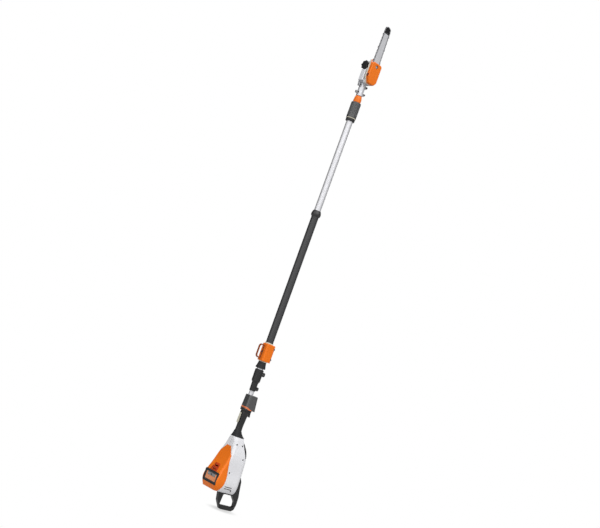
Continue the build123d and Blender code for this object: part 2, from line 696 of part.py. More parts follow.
# Hand stop, a rubber cone on the outer tube
with BuildPart() as hand_stop:
    with BuildSketch(Plane.XZ):
        with BuildLine():
            Polyline((out_tube_r + fit, stop_low), (26.0, stop_low), (26.4, stop_low + 5.0),
                     (22.5, stop_low + 19.0), (20.2, stop_top), (out_tube_r + fit, stop_top), close=True)
        make_face()
    revolve(axis=Axis.Z)
    fillet(hand_stop.edges().filter_by(GeomType.CIRCLE).group_by(Axis.Z)[1], 2.0)
hand_stop.part.label = "hand_stop"
export_step(hand_stop.part, "parts/hand_stop.step")

# Harness bracket with its loop, on a pale liner
liner_wall = 2.2
liner_r = out_tube_r + fit + liner_wall
loop_mid = (stop_top + bracket_top) / 2.0
with BuildPart() as bracket_liner:
    with Locations((0.0, 0.0, loop_mid)):
        Cylinder(liner_r, bracket_h - 1.0)
        Cylinder(out_tube_r + fit, bracket_h - 1.0, mode=Mode.SUBTRACT)
bracket_liner.part.label = "bracket_liner"
export_step(bracket_liner.part, "parts/bracket_liner.step")

with BuildPart() as harness_bracket:
    with BuildSketch(Plane.XY.offset(stop_top + 4.0)) as ring:
        with Locations((4.5, 0.0)):
            Rectangle(56.0, 49.0)
        fillet(ring.vertices(), 10.0)
    extrude(amount=bracket_h - 8.0)
    chamfer(harness_bracket.faces().sort_by(Axis.Z)[-1].edges(), 3.0)
    fillet(harness_bracket.faces().sort_by(Axis.Z)[0].edges(), 2.0)
    with BuildSketch(Plane.XZ) as loop:
        with Locations((-38.0, loop_mid)):
            RectangleRounded(38.0, 74.0, 15.0)
            RectangleRounded(27.0, 62.0, 11.0, mode=Mode.SUBTRACT)
    extrude(amount=4.0, both=True)
    with Locations((0.0, 0.0, loop_mid)):
        Cylinder(liner_r, 200.0, mode=Mode.SUBTRACT)
    with Locations((30.0, 0.0, loop_mid)):
        Box(40.0, 2.0, 200.0, mode=Mode.SUBTRACT)
    for z in (loop_mid - 28.0, loop_mid + 28.0):
        with Locations((27.0, 0.0, z)):
            Cylinder(2.5, 80.0, rotation=(90, 0, 0), mode=Mode.SUBTRACT)
        with Locations((27.0, -34.0, z)):
            Cylinder(4.8, 30.0, rotation=(90, 0, 0), mode=Mode.SUBTRACT)
    with Locations((-24.0, 0.0, loop_mid)):
        Cylinder(2.5, 8.0, rotation=(0, 90, 0), mode=Mode.SUBTRACT)
harness_bracket.part.label = "harness_bracket"
export_step(harness_bracket.part, "parts/harness_bracket.step")

# Screws of the joint sleeve and the harness bracket
with BuildPart() as clamp_screws:
    for x, z in ((29.5, ear_up_z), (22.0, ear_low_z)):
        with Locations((x, -8.5, z)):
            Cylinder(4.6, 5.0, rotation=(90, 0, 0))
        with Locations((x, 2.0, z)):
            Cylinder(2.5, 17.0, rotation=(90, 0, 0))
        with BuildSketch(Plane.XZ.offset(11.0)):
            with Locations((x, z)):
                RegularPolygon(2.4, 6)
        extrude(amount=-2.6, mode=Mode.SUBTRACT)
    for z in (loop_mid - 28.0, loop_mid + 28.0):
        with Locations((27.0, -21.5, z)):
            Cylinder(4.6, 5.0, rotation=(90, 0, 0))
        with Locations((27.0, -5.0, z)):
            Cylinder(2.5, 29.0, rotation=(90, 0, 0))
        with BuildSketch(Plane.XZ.offset(24.0)):
            with Locations((27.0, z)):
                RegularPolygon(2.4, 6)
        extrude(amount=-2.6, mode=Mode.SUBTRACT)
    with Locations((-26.5, 0.0, loop_mid)):
        Cylinder(4.6, 4.0, rotation=(0, 90, 0))
    with Locations((-22.6, 0.0, loop_mid)):
        Cylinder(2.5, 3.8, rotation=(0, 90, 0))
clamp_screws.part.label = "clamp_screws"
export_step(clamp_screws.part, "parts/clamp_screws.step")

# Outer tube, and the handle hose with its end collar
with BuildPart() as outer_tube:
    with Locations((0.0, 0.0, (out_tube_low + out_tube_top) / 2.0)):
        Cylinder(out_tube_r, out_tube_top - out_tube_low)
        Cylinder(out_tube_in, out_tube_top - out_tube_low, mode=Mode.SUBTRACT)
outer_tube.part.label = "outer_tube"
export_step(outer_tube.part, "parts/outer_tube.step")

hose_r = out_tube_r + fit + hose_wall
with BuildPart() as handle_hose:
    with Locations((0.0, 0.0, (bracket_top + hose_top) / 2.0)):
        Cylinder(hose_r, hose_h)
        Cylinder(out_tube_r + fit, hose_h, mode=Mode.SUBTRACT)
    with BuildSketch(Plane.XZ):
        with BuildLine():
            Polyline((out_tube_r + fit, hose_top), (hose_r + 1.4, hose_top))
            Spline((hose_r + 1.4, hose_top), (26.2, hose_top + 10.0), (25.4, hose_top + 20.0),
                   (out_tube_r + 2.4, collar_top))
            Polyline((out_tube_r + 2.4, collar_top), (out_tube_r + fit, collar_top),
                     (out_tube_r + fit, hose_top))
        make_face()
    revolve(axis=Axis.Z)
handle_hose.part.label = "handle_hose"
export_step(handle_hose.part, "parts/handle_hose.step")

# Twist clamp: base, sleeve, split collet and orange nose
spigot_r = 21.0
with BuildPart() as clamp_base:
    with Locations((0.0, 0.0, clamp_low + clamp_base_h / 2.0)):
        Cylinder(25.0, clamp_base_h)
    fillet(clamp_base.edges().filter_by(GeomType.CIRCLE).group_by(Axis.Z)[0], 3.0)
    with Locations((0.0, 0.0, (sleeve_low + out_tube_top) / 2.0)):
        Cylinder(spigot_r, out_tube_top - sleeve_low)
    with Locations((0.0, 0.0, clamp_low)):
        Cylinder(out_tube_r + fit, 400.0, mode=Mode.SUBTRACT)
clamp_base.part.label = "clamp_base"
export_step(clamp_base.part, "parts/clamp_base.step")

with BuildPart() as clamp_sleeve:
    with Locations((0.0, 0.0, (sleeve_low + sleeve_top) / 2.0 + fit)):
        Cylinder(27.0, sleeve_h - 2.0 * fit)
    chamfer(clamp_sleeve.edges().filter_by(GeomType.CIRCLE).group_by(Axis.Z)[-1], 3.0)
    with PolarLocations(28.6, 16):
        with Locations((0.0, 0.0, (sleeve_low + sleeve_top) / 2.0 + 2.0)):
            Cylinder(3.0, sleeve_h - 22.0, mode=Mode.SUBTRACT)
    with Locations((0.0, 0.0, (sleeve_low + out_tube_top) / 2.0 - 20.0)):
        Cylinder(spigot_r + gap, out_tube_top - sleeve_low + 41.0, mode=Mode.SUBTRACT)
    with Locations((0.0, 0.0, sleeve_top)):
        Cylinder(17.4, 80.0, mode=Mode.SUBTRACT)
clamp_sleeve.part.label = "clamp_sleeve"
export_step(clamp_sleeve.part, "parts/clamp_sleeve.step")

with BuildPart() as clamp_collet:
    with BuildSketch(Plane.XZ):
        with BuildLine():
            Polyline((in_tube_r + fit, out_tube_top), (17.0, out_tube_top), (17.0, sleeve_top - 12.0),
                     (15.2, sleeve_top - 3.0), (in_tube_r + fit, sleeve_top - 3.0), close=True)
        make_face()
    revolve(axis=Axis.Z)
    with Locations((20.0, 0.0, sleeve_top)):
        Box(40.0, 1.2, 120.0, mode=Mode.SUBTRACT)
clamp_collet.part.label = "clamp_collet"
export_step(clamp_collet.part, "parts/clamp_collet.step")

with BuildPart() as clamp_nose:
    with BuildSketch(Plane.XZ):
        with BuildLine():
            Polyline((in_tube_r + 0.4, nose_top), (in_tube_r + 0.4, sleeve_top), (21.0, sleeve_top))
            Spline((21.0, sleeve_top), (21.2, sleeve_top + 0.3 * nose_h), (19.8, sleeve_top + 0.7 * nose_h),
                   (17.0, nose_top))
            Line((17.0, nose_top), (in_tube_r + 0.4, nose_top))
        make_face()
    revolve(axis=Axis.Z)
clamp_nose.part.label = "clamp_nose"
export_step(clamp_nose.part, "parts/clamp_nose.step")

# Drive shaft: hollow lower length, and the keyed bar that slides in it
with BuildPart() as drive_shaft:
    with Locations((0.0, 0.0, (plate_z + shaft_top) / 2.0)):
        Cylinder(shaft_r, shaft_top - plate_z)
    with BuildSketch(Plane.XY.offset(key_low - 20.0)):
        RegularPolygon(hex_key / 2.0 + hex_play, 6, major_radius=False)
    extrude(amount=shaft_top - key_low + 40.0, mode=Mode.SUBTRACT)
drive_shaft.part.label = "drive_shaft"
export_step(drive_shaft.part, "parts/drive_shaft.step")

# Saw head. The bevel pinion is on the pole axis, the bevel gear on the spindle across it
pinion_teeth = 12
gear_teeth = 16
module = 2.0
pinion_pitch = module * pinion_teeth / 2.0
gear_pitch = module * gear_teeth / 2.0
small_end = 0.65
case_half_x = 24.0
case_front = 31.0
case_back = 24.0
spindle_rad = 5.0
bar_back = bar_y - bar_thick / 2.0
bar_front = bar_y + bar_thick / 2.0
in_tube_top = neck_top - 4.0
case_top = spindle_z + 45.0
pad_top = stud_z + 24.0
spindle_back = 22.0
spindle_end = bar_y + 8.0


# Outline of a bevel gear across its axis, straight flanks with play
def tooth_ring(teeth, root, pitch, tip, thick, phase):
    points = []
    for tooth in range(teeth):
        mid = phase + 2.0 * math.pi * tooth / teeth
        for radius, half, sign in ((root, 0.72, -1), (tip, 0.27, -1), (tip, 0.27, 1), (root, 0.72, 1)):
            turn = mid + sign * half * thick / radius
            points.append((radius * math.cos(turn), radius * math.sin(turn)))
    return points


pinion_ring = tooth_ring(pinion_teeth, 10.2, pinion_pitch, 13.5, 2.5, 0.0)
gear_ring = tooth_ring(gear_teeth, 13.4, gear_pitch, 17.8, 2.5, math.pi / gear_teeth)

with BuildPart() as bevel_pinion:
    with BuildSketch(Plane.XY.offset(spindle_z - gear_pitch)):
        with BuildLine():
            Polyline(*pinion_ring, close=True)
        make_face()
    with BuildSketch(Plane.XY.offset(spindle_z - gear_pitch * small_end)):
        with BuildLine():
            Polyline(*[(x * small_end, y * small_end) for x, y in pinion_ring], close=True)
        make_face()
    loft(ruled=True)
    with Locations((0.0, 0.0, spindle_z - gear_pitch - 13.0)):
        Cylinder(8.0, 26.0)
    with BuildSketch(Plane.XY.offset(spindle_z - gear_pitch - 26.0)):
        RegularPolygon(hex_key / 2.0, 6, major_radius=False)
    extrude(amount=14.0, mode=Mode.SUBTRACT)
bevel_pinion.part.label = "bevel_pinion"
export_step(bevel_pinion.part, "parts/bevel_pinion.step")

with BuildPart() as key_bar:
    with BuildSketch(Plane.XY.offset(key_low)):
        RegularPolygon(hex_key / 2.0, 6, major_radius=False)
    extrude(amount=spindle_z - gear_pitch - 12.0 - key_low)
key_bar.part.label = "key_bar"
export_step(key_bar.part, "parts/key_bar.step")

# Bevel gear in one piece with the spindle that carries the sprocket
with BuildPart() as bevel_gear:
    with BuildSketch(Plane.XZ.offset(-pinion_pitch)):
        with BuildLine():
            Polyline(*[(x, spindle_z + z) for x, z in gear_ring], close=True)
        make_face()
    with BuildSketch(Plane.XZ.offset(-pinion_pitch * small_end)):
        with BuildLine():
            Polyline(*[(x * small_end, spindle_z + z * small_end) for x, z in gear_ring], close=True)
        make_face()
    loft(ruled=True)
    with Locations((0.0, pinion_pitch + 2.4, spindle_z)):
        Cylinder(8.0, 4.8, rotation=(90, 0, 0))
    with Locations((0.0, (spindle_back - spindle_end) / 2.0, spindle_z)):
        Cylinder(spindle_rad, spindle_back + spindle_end, rotation=(90, 0, 0))
bevel_gear.part.label = "bevel_gear"
export_step(bevel_gear.part, "parts/bevel_gear.step")

tail_r = spindle_r - 6.8
with BuildPart() as chain_sprocket:
    with BuildSketch(Plane.XZ.offset(bar_y - 0.9)):
        with Locations((0.0, spindle_z)):
            Circle(tail_r - 2.6)
            with PolarLocations(tail_r - 2.6, sprocket_teeth):
                Rectangle(4.4, 4.4, rotation=0)
    extrude(amount=1.8)
    with BuildSketch(Plane.XZ.offset(bar_y - 4.5)):
        with Locations((0.0, spindle_z)):
            Circle(10.5)
    extrude(amount=9.0)
    with Locations((0.0, -bar_y, spindle_z)):
        Cylinder(spindle_rad, 40.0, rotation=(90, 0, 0), mode=Mode.SUBTRACT)
chain_sprocket.part.label = "chain_sprocket"
export_step(chain_sprocket.part, "parts/chain_sprocket.step")

# Gear case with the neck half that takes the inner tube, and the pad for the bar
ear_x = 24.0
ear_spots = [(side * ear_x, z) for z in (neck_low + 16.0, neck_top - 11.0) for side in (-1.0, 1.0)]
tension_x = -10.5
tension_y = 4.0 - bar_back
tension_z = stud_z - 14.0
pump_x = -17.0
pump_z = case_top - 26.0
pump_r = 4.0
with BuildPart() as gear_case:
    with Locations((0.0, (case_back - case_front) / 2.0, (neck_top + case_top) / 2.0)):
        Box(2.0 * case_half_x, case_back + case_front, case_top - neck_top)
    fillet(gear_case.edges().filter_by(Axis.Z), 8.0)
    fillet(gear_case.faces().sort_by(Axis.Z)[0].edges(), 5.0)
    with Locations((0.0, -(20.0 + bar_back) / 2.0, (case_top - 20.0 + pad_top) / 2.0)):
        Box(34.0, bar_back - 20.0, pad_top - case_top + 20.0)
    with Locations((0.0, 0.0, (neck_low + neck_top + 8.0) / 2.0)):
        Cylinder(17.5, neck_h + 8.0)
    for x, z in ear_spots:
        with Locations((x * 0.9, 0.0, z)):
            Box(16.0, 16.0, 12.0)
    with Locations((0.0, 50.0 - 0.3, neck_low)):
        Box(100.0, 100.0, 2.0 * (neck_h - 2.0), mode=Mode.SUBTRACT)
    with Locations((0.0, 0.0, (neck_low + spindle_z - 27.0) / 2.0 - 10.0)):
        Cylinder(in_tube_r + fit, spindle_z - 27.0 - neck_low + 20.0, mode=Mode.SUBTRACT)
    with Locations((0.0, 0.0, spindle_z - 20.0)):
        Cylinder(14.6, 24.0, mode=Mode.SUBTRACT)
    with Locations((0.0, -1.4, spindle_z)):
        Cylinder(19.6, 37.2, rotation=(90, 0, 0), mode=Mode.SUBTRACT)
    with Locations((0.0, 19.7, spindle_z)):
        Cylinder(10.0, 5.2, rotation=(90, 0, 0), mode=Mode.SUBTRACT)
    with Locations((0.0, -24.0, spindle_z)):
        Cylinder(12.0, 8.2, rotation=(90, 0, 0), mode=Mode.SUBTRACT)
    with Locations((0.0, -28.0, spindle_z)):
        Cylinder(spindle_rad + 1.0, 30.0, rotation=(90, 0, 0), mode=Mode.SUBTRACT)
    with Locations((0.0, -(24.0 + bar_back) / 2.0, stud_z)):
        Cylinder(4.0, bar_back - 20.0, rotation=(90, 0, 0), mode=Mode.SUBTRACT)
    with Locations((tension_x, tension_y - 0.6, tension_z)):
        Box(9.0, 8.2, 19.0, mode=Mode.SUBTRACT)
    with Locations((tension_x, tension_y, tension_z + 30.0)):
        Cylinder(2.6, 60.0, mode=Mode.SUBTRACT)
    with Locations((pump_x, -30.0, pump_z)):
        Cylinder(pump_r, 30.0, rotation=(90, 0, 0), mode=Mode.SUBTRACT)
    for x, z in ear_spots:
        with Locations((x, 0.0, z)):
            Cylinder(2.1, 40.0, rotation=(90, 0, 0), mode=Mode.SUBTRACT)
gear_case.part.label = "gear_case"
export_step(gear_case.part, "parts/gear_case.step")

with BuildPart() as neck_cap:
    with Locations((0.0, 0.0, neck_low + neck_h / 2.0 - 2.0)):
        Cylinder(17.5, neck_h - 5.0)
    for x, z in ear_spots:
        with Locations((x * 0.9, 0.0, z)):
            Box(16.0, 16.0, 12.0)
    with Locations((0.0, -50.0 + 0.3, neck_low)):
        Box(100.0, 100.0, 4.0 * neck_h, mode=Mode.SUBTRACT)
    with Locations((0.0, 0.0, neck_low)):
        Cylinder(in_tube_r, 4.0 * neck_h, mode=Mode.SUBTRACT)
    for x, z in ear_spots:
        with Locations((x, 0.0, z)):
            Cylinder(2.1, 40.0, rotation=(90, 0, 0), mode=Mode.SUBTRACT)
neck_cap.part.label = "neck_cap"
export_step(neck_cap.part, "parts/neck_cap.step")

with BuildPart() as neck_screws:
    for x, z in ear_spots:
        with Locations((x, -10.5, z)):
            Cylinder(4.2, 5.0, rotation=(90, 0, 0))
        with Locations((x, -1.0, z)):
            Cylinder(2.1, 17.0, rotation=(90, 0, 0))
        with BuildSketch(Plane.XZ.offset(13.0)):
            with Locations((x, z)):
                RegularPolygon(2.2, 6)
        extrude(amount=-2.6, mode=Mode.SUBTRACT)
neck_screws.part.label = "neck_screws"
export_step(neck_screws.part, "parts/neck_screws.step")

# Inner tube with its slide bush and the bushes of the keyed bar
with BuildPart() as inner_tube:
    with Locations((0.0, 0.0, (in_tube_low + in_tube_top) / 2.0)):
        Cylinder(in_tube_r, in_tube_top - in_tube_low)
        Cylinder(in_tube_in, in_tube_top - in_tube_low, mode=Mode.SUBTRACT)
inner_tube.part.label = "inner_tube"
export_step(inner_tube.part, "parts/inner_tube.step")

with BuildPart() as tube_bushes:
    with Locations((0.0, 0.0, in_tube_low + 22.0)):
        Cylinder(out_tube_in - fit, 44.0)
        Cylinder(in_tube_r, 44.0, mode=Mode.SUBTRACT)
    with Locations((0.0, 0.0, sleeve_top), (0.0, 0.0, in_tube_top - 16.0)):
        Cylinder(in_tube_in, 20.0)
        Cylinder(hex_key / math.sqrt(3.0) + 0.08, 20.0, mode=Mode.SUBTRACT)
tube_bushes.part.label = "tube_bushes"
export_step(tube_bushes.part, "parts/tube_bushes.step")

with BuildPart() as head_bearings:
    with Locations((0.0, 0.0, spindle_z - gear_pitch - 17.0)):
        Cylinder(in_tube_r + fit, 8.0)
        Cylinder(8.0 + fit, 8.0, mode=Mode.SUBTRACT)
    with Locations((0.0, 19.6, spindle_z)):
        Cylinder(10.0, 4.6, rotation=(90, 0, 0))
        Cylinder(spindle_rad + fit, 4.6, rotation=(90, 0, 0), mode=Mode.SUBTRACT)
    with Locations((0.0, -24.0, spindle_z)):
        Cylinder(12.0, 8.0, rotation=(90, 0, 0))
        Cylinder(spindle_rad + fit, 8.0, rotation=(90, 0, 0), mode=Mode.SUBTRACT)
head_bearings.part.label = "head_bearings"
export_step(head_bearings.part, "parts/head_bearings.step")

with BuildPart() as oil_pump:
    with Locations((pump_x, -26.0, pump_z)):
        Cylinder(pump_r, 21.0, rotation=(90, 0, 0))
    with Locations((pump_x, -26.0, pump_z)):
        Cylinder(1.2, 30.0, rotation=(90, 0, 0), mode=Mode.SUBTRACT)
oil_pump.part.label = "oil_pump"
export_step(oil_pump.part, "parts/oil_pump.step")

# Oil tank beside and above the gear case, and its cap
cap_z = spindle_z + 52.0
cap_y = -4.0
cap_r = 20.0
with BuildPart() as oil_tank:
    with Locations((-1.5, 2.2, (case_top + pad_top) / 2.0)):
        Box(2.0 * case_half_x + 3.0, 43.6, pad_top - case_top - 0.2)
    with Locations((-case_half_x - 7.0, -7.0, (neck_top + 10.0 + cap_z - 27.0) / 2.0)):
        Box(14.0, 34.0, cap_z - 27.0 - neck_top - 10.0)
    with Locations((-case_half_x - 2.85, -7.0, cap_z - 12.0)):
        Box(5.5, 34.0, 30.0)
    fillet(oil_tank.edges().filter_by(Axis.Z).group_by(Axis.X)[0], 6.0)
    fillet(oil_tank.edges().filter_by(Axis.Z).group_by(Axis.X)[-1], 8.0)
    with Locations((-case_half_x - 3.05, cap_y, cap_z)):
        Cylinder(13.0, 5.9, rotation=(0, 90, 0))
    with Locations((0.0, 2.2, (case_top + pad_top) / 2.0)):
        Box(2.0 * case_half_x - 5.0, 38.0, pad_top - case_top - 5.0, mode=Mode.SUBTRACT)
    with Locations((-case_half_x - 7.0, -7.0, (neck_top + 10.0 + cap_z - 27.0) / 2.0)):
        Box(9.0, 29.0, cap_z - 32.0 - neck_top - 10.0, mode=Mode.SUBTRACT)
    with Locations((-case_half_x - 2.5, -7.0, cap_z - 14.0)):
        Box(2.0, 26.0, 28.0, mode=Mode.SUBTRACT)
    with Locations((-case_half_x - 2.0, cap_y, cap_z)):
        Cylinder(9.0, 30.0, rotation=(0, 90, 0), mode=Mode.SUBTRACT)
oil_tank.part.label = "oil_tank"
export_step(oil_tank.part, "parts/oil_tank.step")

with BuildPart() as oil_cap:
    with Locations((-case_half_x - 12.2, cap_y, cap_z)):
        Cylinder(cap_r, 12.0, rotation=(0, 90, 0))
    with BuildSketch(Plane.YZ.offset(-case_half_x - 18.2)):
        with Locations((cap_y, cap_z)):
            with PolarLocations(cap_r - 0.5, 7):
                Circle(5.0)
    extrude(amount=12.0)
    with Locations((-case_half_x - 4.5, cap_y, cap_z)):
        Cylinder(8.8, 8.0, rotation=(0, 90, 0))
oil_cap.part.label = "oil_cap"
export_step(oil_cap.part, "parts/oil_cap.step")

# Guide bar, laminated so that the rail carries the groove
tail_z = spindle_z + 25.0


# Edge of the bar set in from its rail
def bar_edge(inset):
    side = spindle_r - rail_to_rivet - inset
    nose = nose_r - inset
    low_x = (side - (tail_z - spindle_z) * math.sin(lean)) / math.cos(lean)
    top = (nose * math.cos(lean), tip_z + nose * math.sin(lean))
    return low_x, top, nose


slot_low = stud_z - 10.0
slot_top = stud_z + 14.0
with BuildPart() as guide_bar:
    for start, thick, inset in ((bar_back, (bar_thick - groove) / 2.0, 0.0),
                                (bar_back + (bar_thick - groove) / 2.0, groove, groove_deep),
                                (bar_back + (bar_thick + groove) / 2.0, (bar_thick - groove) / 2.0, 0.0)):
        low_x, top, nose = bar_edge(inset)
        with BuildSketch(Plane.XZ.offset(start)) as layer:
            with BuildLine():
                Polyline((-top[0], top[1]), (-low_x, tail_z), (low_x, tail_z), top)
                ThreePointArc(top, (0.0, tip_z + nose), (-top[0], top[1]))
            make_face()
            fillet(layer.vertices().group_by(Axis.Y)[0], 7.0)
        extrude(amount=thick)
    with BuildSketch(Plane.XZ.offset(bar_back)):
        with Locations((0.0, (slot_low + slot_top) / 2.0)):
            SlotOverall(slot_top - slot_low, 8.4, rotation=90)
        with Locations((tension_x, tension_z)):
            Circle(2.3)
    extrude(amount=bar_thick, mode=Mode.SUBTRACT)
    with Locations((0.0, -bar_y, tip_z)):
        Cylinder(nose_r - 1.0, groove, rotation=(90, 0, 0), mode=Mode.SUBTRACT)
    with Locations((0.0, -bar_y, tip_z)):
        Cylinder(2.5, bar_thick, rotation=(90, 0, 0))
guide_bar.part.label = "guide_bar"
export_step(guide_bar.part, "parts/guide_bar.step")

nose_tip = tip_r - 7.2
with BuildPart() as nose_sprocket:
    with BuildSketch(Plane.XZ.offset(bar_y - 0.6)):
        with Locations((0.0, tip_z)):
            Circle(nose_tip - 1.8)
            with PolarLocations(nose_tip - 1.8, 9):
                Rectangle(3.2, 2.6)
            Circle(2.5 + 2.0 * fit, mode=Mode.SUBTRACT)
    extrude(amount=1.2)
nose_sprocket.part.label = "nose_sprocket"
export_step(nose_sprocket.part, "parts/nose_sprocket.step")

# Saw chain: drive links in the groove, and pairs of straps or cutters beside them
drive_form = [(-7.0, 2.6), (7.0, 2.6), (7.0, -2.0), (2.2, -6.6), (-1.8, -6.6), (-7.0, -2.0)]
strap_form = [(-6.4, 2.9), (6.4, 2.9), (7.2, 0.0), (6.4, -2.9), (-6.4, -2.9), (-7.2, 0.0)]
cutter_form = [(-7.2, -2.9), (7.2, -2.9), (7.2, 3.2), (5.6, 4.7), (3.8, 4.4), (3.0, 1.6), (1.6, 1.6),
               (0.8, 5.7), (-6.6, 4.7)]
side_in = link_thick / 2.0 + 0.1
side_out = side_in + strap_thick
drive_spots = []
front_spots = []
back_spots = []
for step in range(2 * drive_links):
    a = on_path((step - 0.5) * chain_pitch)
    b = on_path((step + 0.5) * chain_pitch)
    size = math.hypot(b[0] - a[0], b[1] - a[1])
    spot = ((a[0] + b[0]) / 2.0, (a[1] + b[1]) / 2.0, (b[0] - a[0]) / size, (b[1] - a[1]) / size)
    if step % 2 == 0:
        drive_spots.append((spot, drive_form))
    else:
        front_spots.append((spot, cutter_form if step % 8 == 1 else strap_form))
        back_spots.append((spot, cutter_form if step % 8 == 5 else strap_form))
with BuildPart() as saw_chain:
    for start, thick, spots in ((bar_y - link_thick / 2.0, link_thick, drive_spots),
                                (bar_y + side_in, strap_thick, front_spots),
                                (bar_y - side_out, strap_thick, back_spots)):
        with BuildSketch(Plane.XZ.offset(start)):
            for (x, z, along_x, along_z), form in spots:
                with BuildLine():
                    Polyline(*[(x + u * along_x + v * along_z, z + u * along_z - v * along_x)
                               for u, v in form], close=True)
                make_face()
        extrude(amount=thick)
saw_chain.part.label = "saw_chain"
export_step(saw_chain.part, "parts/saw_chain.step")

# Chain tensioner: slider with its peg in the bar, and the screw
with BuildPart() as tension_slider:
    with Locations((tension_x, tension_y, tension_z)):
        Box(8.0, 6.0, 8.0)
        Cylinder(2.55, 20.0, mode=Mode.SUBTRACT)
    with Locations((tension_x, -(bar_back - 1.0 + bar_front - 0.6) / 2.0, tension_z)):
        Cylinder(2.2, bar_front - bar_back + 0.4, rotation=(90, 0, 0))
tension_slider.part.label = "tension_slider"
export_step(tension_slider.part, "parts/tension_slider.step")

with BuildPart() as tension_screw:
    with Locations((tension_x, tension_y, (tension_z - 8.0 + pad_top) / 2.0 + 1.0)):
        Cylinder(2.5, pad_top - tension_z + 10.0)
    with Locations((tension_x, tension_y, pad_top + 1.6)):
        Cylinder(4.0, 3.0)
    with Locations((tension_x, tension_y, pad_top + 3.0)):
        Box(9.0, 1.2, 2.0, mode=Mode.SUBTRACT)
tension_screw.part.label = "tension_screw"
export_step(tension_screw.part, "parts/tension_screw.step")

# Stud, sprocket cover and its nut
cover_out = bar_y + 19.0
cover_wall = 2.6
nut_seat = bar_y + 9.0
with BuildPart() as bar_stud:
    with Locations((0.0, -(22.0 + cover_out - 4.0) / 2.0, stud_z)):
        Cylinder(4.0, cover_out - 4.0 - 22.0, rotation=(90, 0, 0))
bar_stud.part.label = "bar_stud"
export_step(bar_stud.part, "parts/bar_stud.step")

cover_top = stud_z + 21.0
cover_low = spindle_z - 48.0
cover_x = 34.5


# Corners of the cover outline set in by a wall
def cover_corners(inset):
    side = cover_x - inset
    return [(-side, cover_top - inset), (-side, spindle_z - 14.0), (-18.0 + inset, cover_low + inset),
            (20.0 - inset, cover_low + inset), (side, spindle_z - 26.0), (side, cover_top - inset)]


with BuildPart() as sprocket_cover:
    with BuildSketch(Plane.XZ.offset(case_front + 0.4)) as outline:
        with BuildLine():
            Polyline(*cover_corners(0.0), close=True)
        make_face()
        fillet(outline.vertices(), 14.0)
    extrude(amount=cover_out - case_front - 0.4)
    fillet(sprocket_cover.faces().sort_by(Axis.Y)[0].edges(), 5.0)
    with BuildSketch(Plane.XZ.offset(case_front)) as outline:
        with BuildLine():
            Polyline(*cover_corners(cover_wall), close=True)
        make_face()
        fillet(outline.vertices(), 11.0)
    extrude(amount=cover_out - case_front - cover_wall, mode=Mode.SUBTRACT)
    with Locations((0.0, -(bar_front + cover_out - 1.0) / 2.0, stud_z)):
        Cylinder(12.0, cover_out - 1.0 - bar_front, rotation=(90, 0, 0))
    with Locations((0.0, -nut_seat - 20.0, stud_z)):
        Cylinder(9.6, 40.0, rotation=(90, 0, 0), mode=Mode.SUBTRACT)
    with Locations((0.0, -bar_y, stud_z)):
        Cylinder(4.2, 60.0, rotation=(90, 0, 0), mode=Mode.SUBTRACT)
    with Locations((0.0, -(case_front + bar_y + 6.0) / 2.0, cover_top)):
        Box(60.0, bar_y + 6.0 - case_front, 20.0, mode=Mode.SUBTRACT)
    with Locations((-cover_x, -cover_out + 11.0, spindle_z - 5.0)):
        Cylinder(5.0, 12.0, rotation=(0, 90, 0), mode=Mode.SUBTRACT)
sprocket_cover.part.label = "sprocket_cover"
export_step(sprocket_cover.part, "parts/sprocket_cover.step")

with BuildPart() as cover_nut:
    with BuildSketch(Plane.XZ.offset(nut_seat)):
        with Locations((0.0, stud_z)):
            Circle(9.2)
    extrude(amount=1.6)
    with BuildSketch(Plane.XZ.offset(nut_seat + 1.6)):
        with Locations((0.0, stud_z)):
            RegularPolygon(6.5, 6, major_radius=False)
    extrude(amount=5.4)
    with Locations((0.0, -nut_seat, stud_z)):
        Cylinder(4.0, 60.0, rotation=(90, 0, 0), mode=Mode.SUBTRACT)
cover_nut.part.label = "cover_nut"
export_step(cover_nut.part, "parts/cover_nut.step")
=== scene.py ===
import json
import math

import bpy
from mathutils import Matrix, Vector


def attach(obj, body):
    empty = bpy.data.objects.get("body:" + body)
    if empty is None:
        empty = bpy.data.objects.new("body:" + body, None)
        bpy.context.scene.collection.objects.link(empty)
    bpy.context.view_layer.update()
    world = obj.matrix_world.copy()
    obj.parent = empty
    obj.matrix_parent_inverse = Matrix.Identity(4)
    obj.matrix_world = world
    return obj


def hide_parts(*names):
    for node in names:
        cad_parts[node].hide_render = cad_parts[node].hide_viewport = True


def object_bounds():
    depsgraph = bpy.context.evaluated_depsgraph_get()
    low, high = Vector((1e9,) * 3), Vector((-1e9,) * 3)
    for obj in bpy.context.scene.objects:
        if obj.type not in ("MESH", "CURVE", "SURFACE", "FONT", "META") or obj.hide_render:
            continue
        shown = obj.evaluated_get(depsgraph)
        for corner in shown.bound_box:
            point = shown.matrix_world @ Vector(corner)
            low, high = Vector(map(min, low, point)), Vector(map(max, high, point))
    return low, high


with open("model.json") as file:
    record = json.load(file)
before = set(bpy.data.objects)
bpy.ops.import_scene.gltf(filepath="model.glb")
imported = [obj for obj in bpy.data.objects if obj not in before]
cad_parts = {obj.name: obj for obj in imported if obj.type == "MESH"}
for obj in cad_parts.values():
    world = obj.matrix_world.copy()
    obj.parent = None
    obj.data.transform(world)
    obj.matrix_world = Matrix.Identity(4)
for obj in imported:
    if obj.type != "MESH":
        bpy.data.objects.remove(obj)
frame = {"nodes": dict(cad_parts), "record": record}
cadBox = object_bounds()
print("frame loaded:", len(frame["nodes"]), "nodes")


def tone(r, g, b):  # screen colour 0-255 to a linear colour
    lin = [(c / 255 / 12.92) if c <= 10 else ((c / 255 + 0.055) / 1.055) ** 2.4 for c in (r, g, b)]
    return (*lin, 1.0)


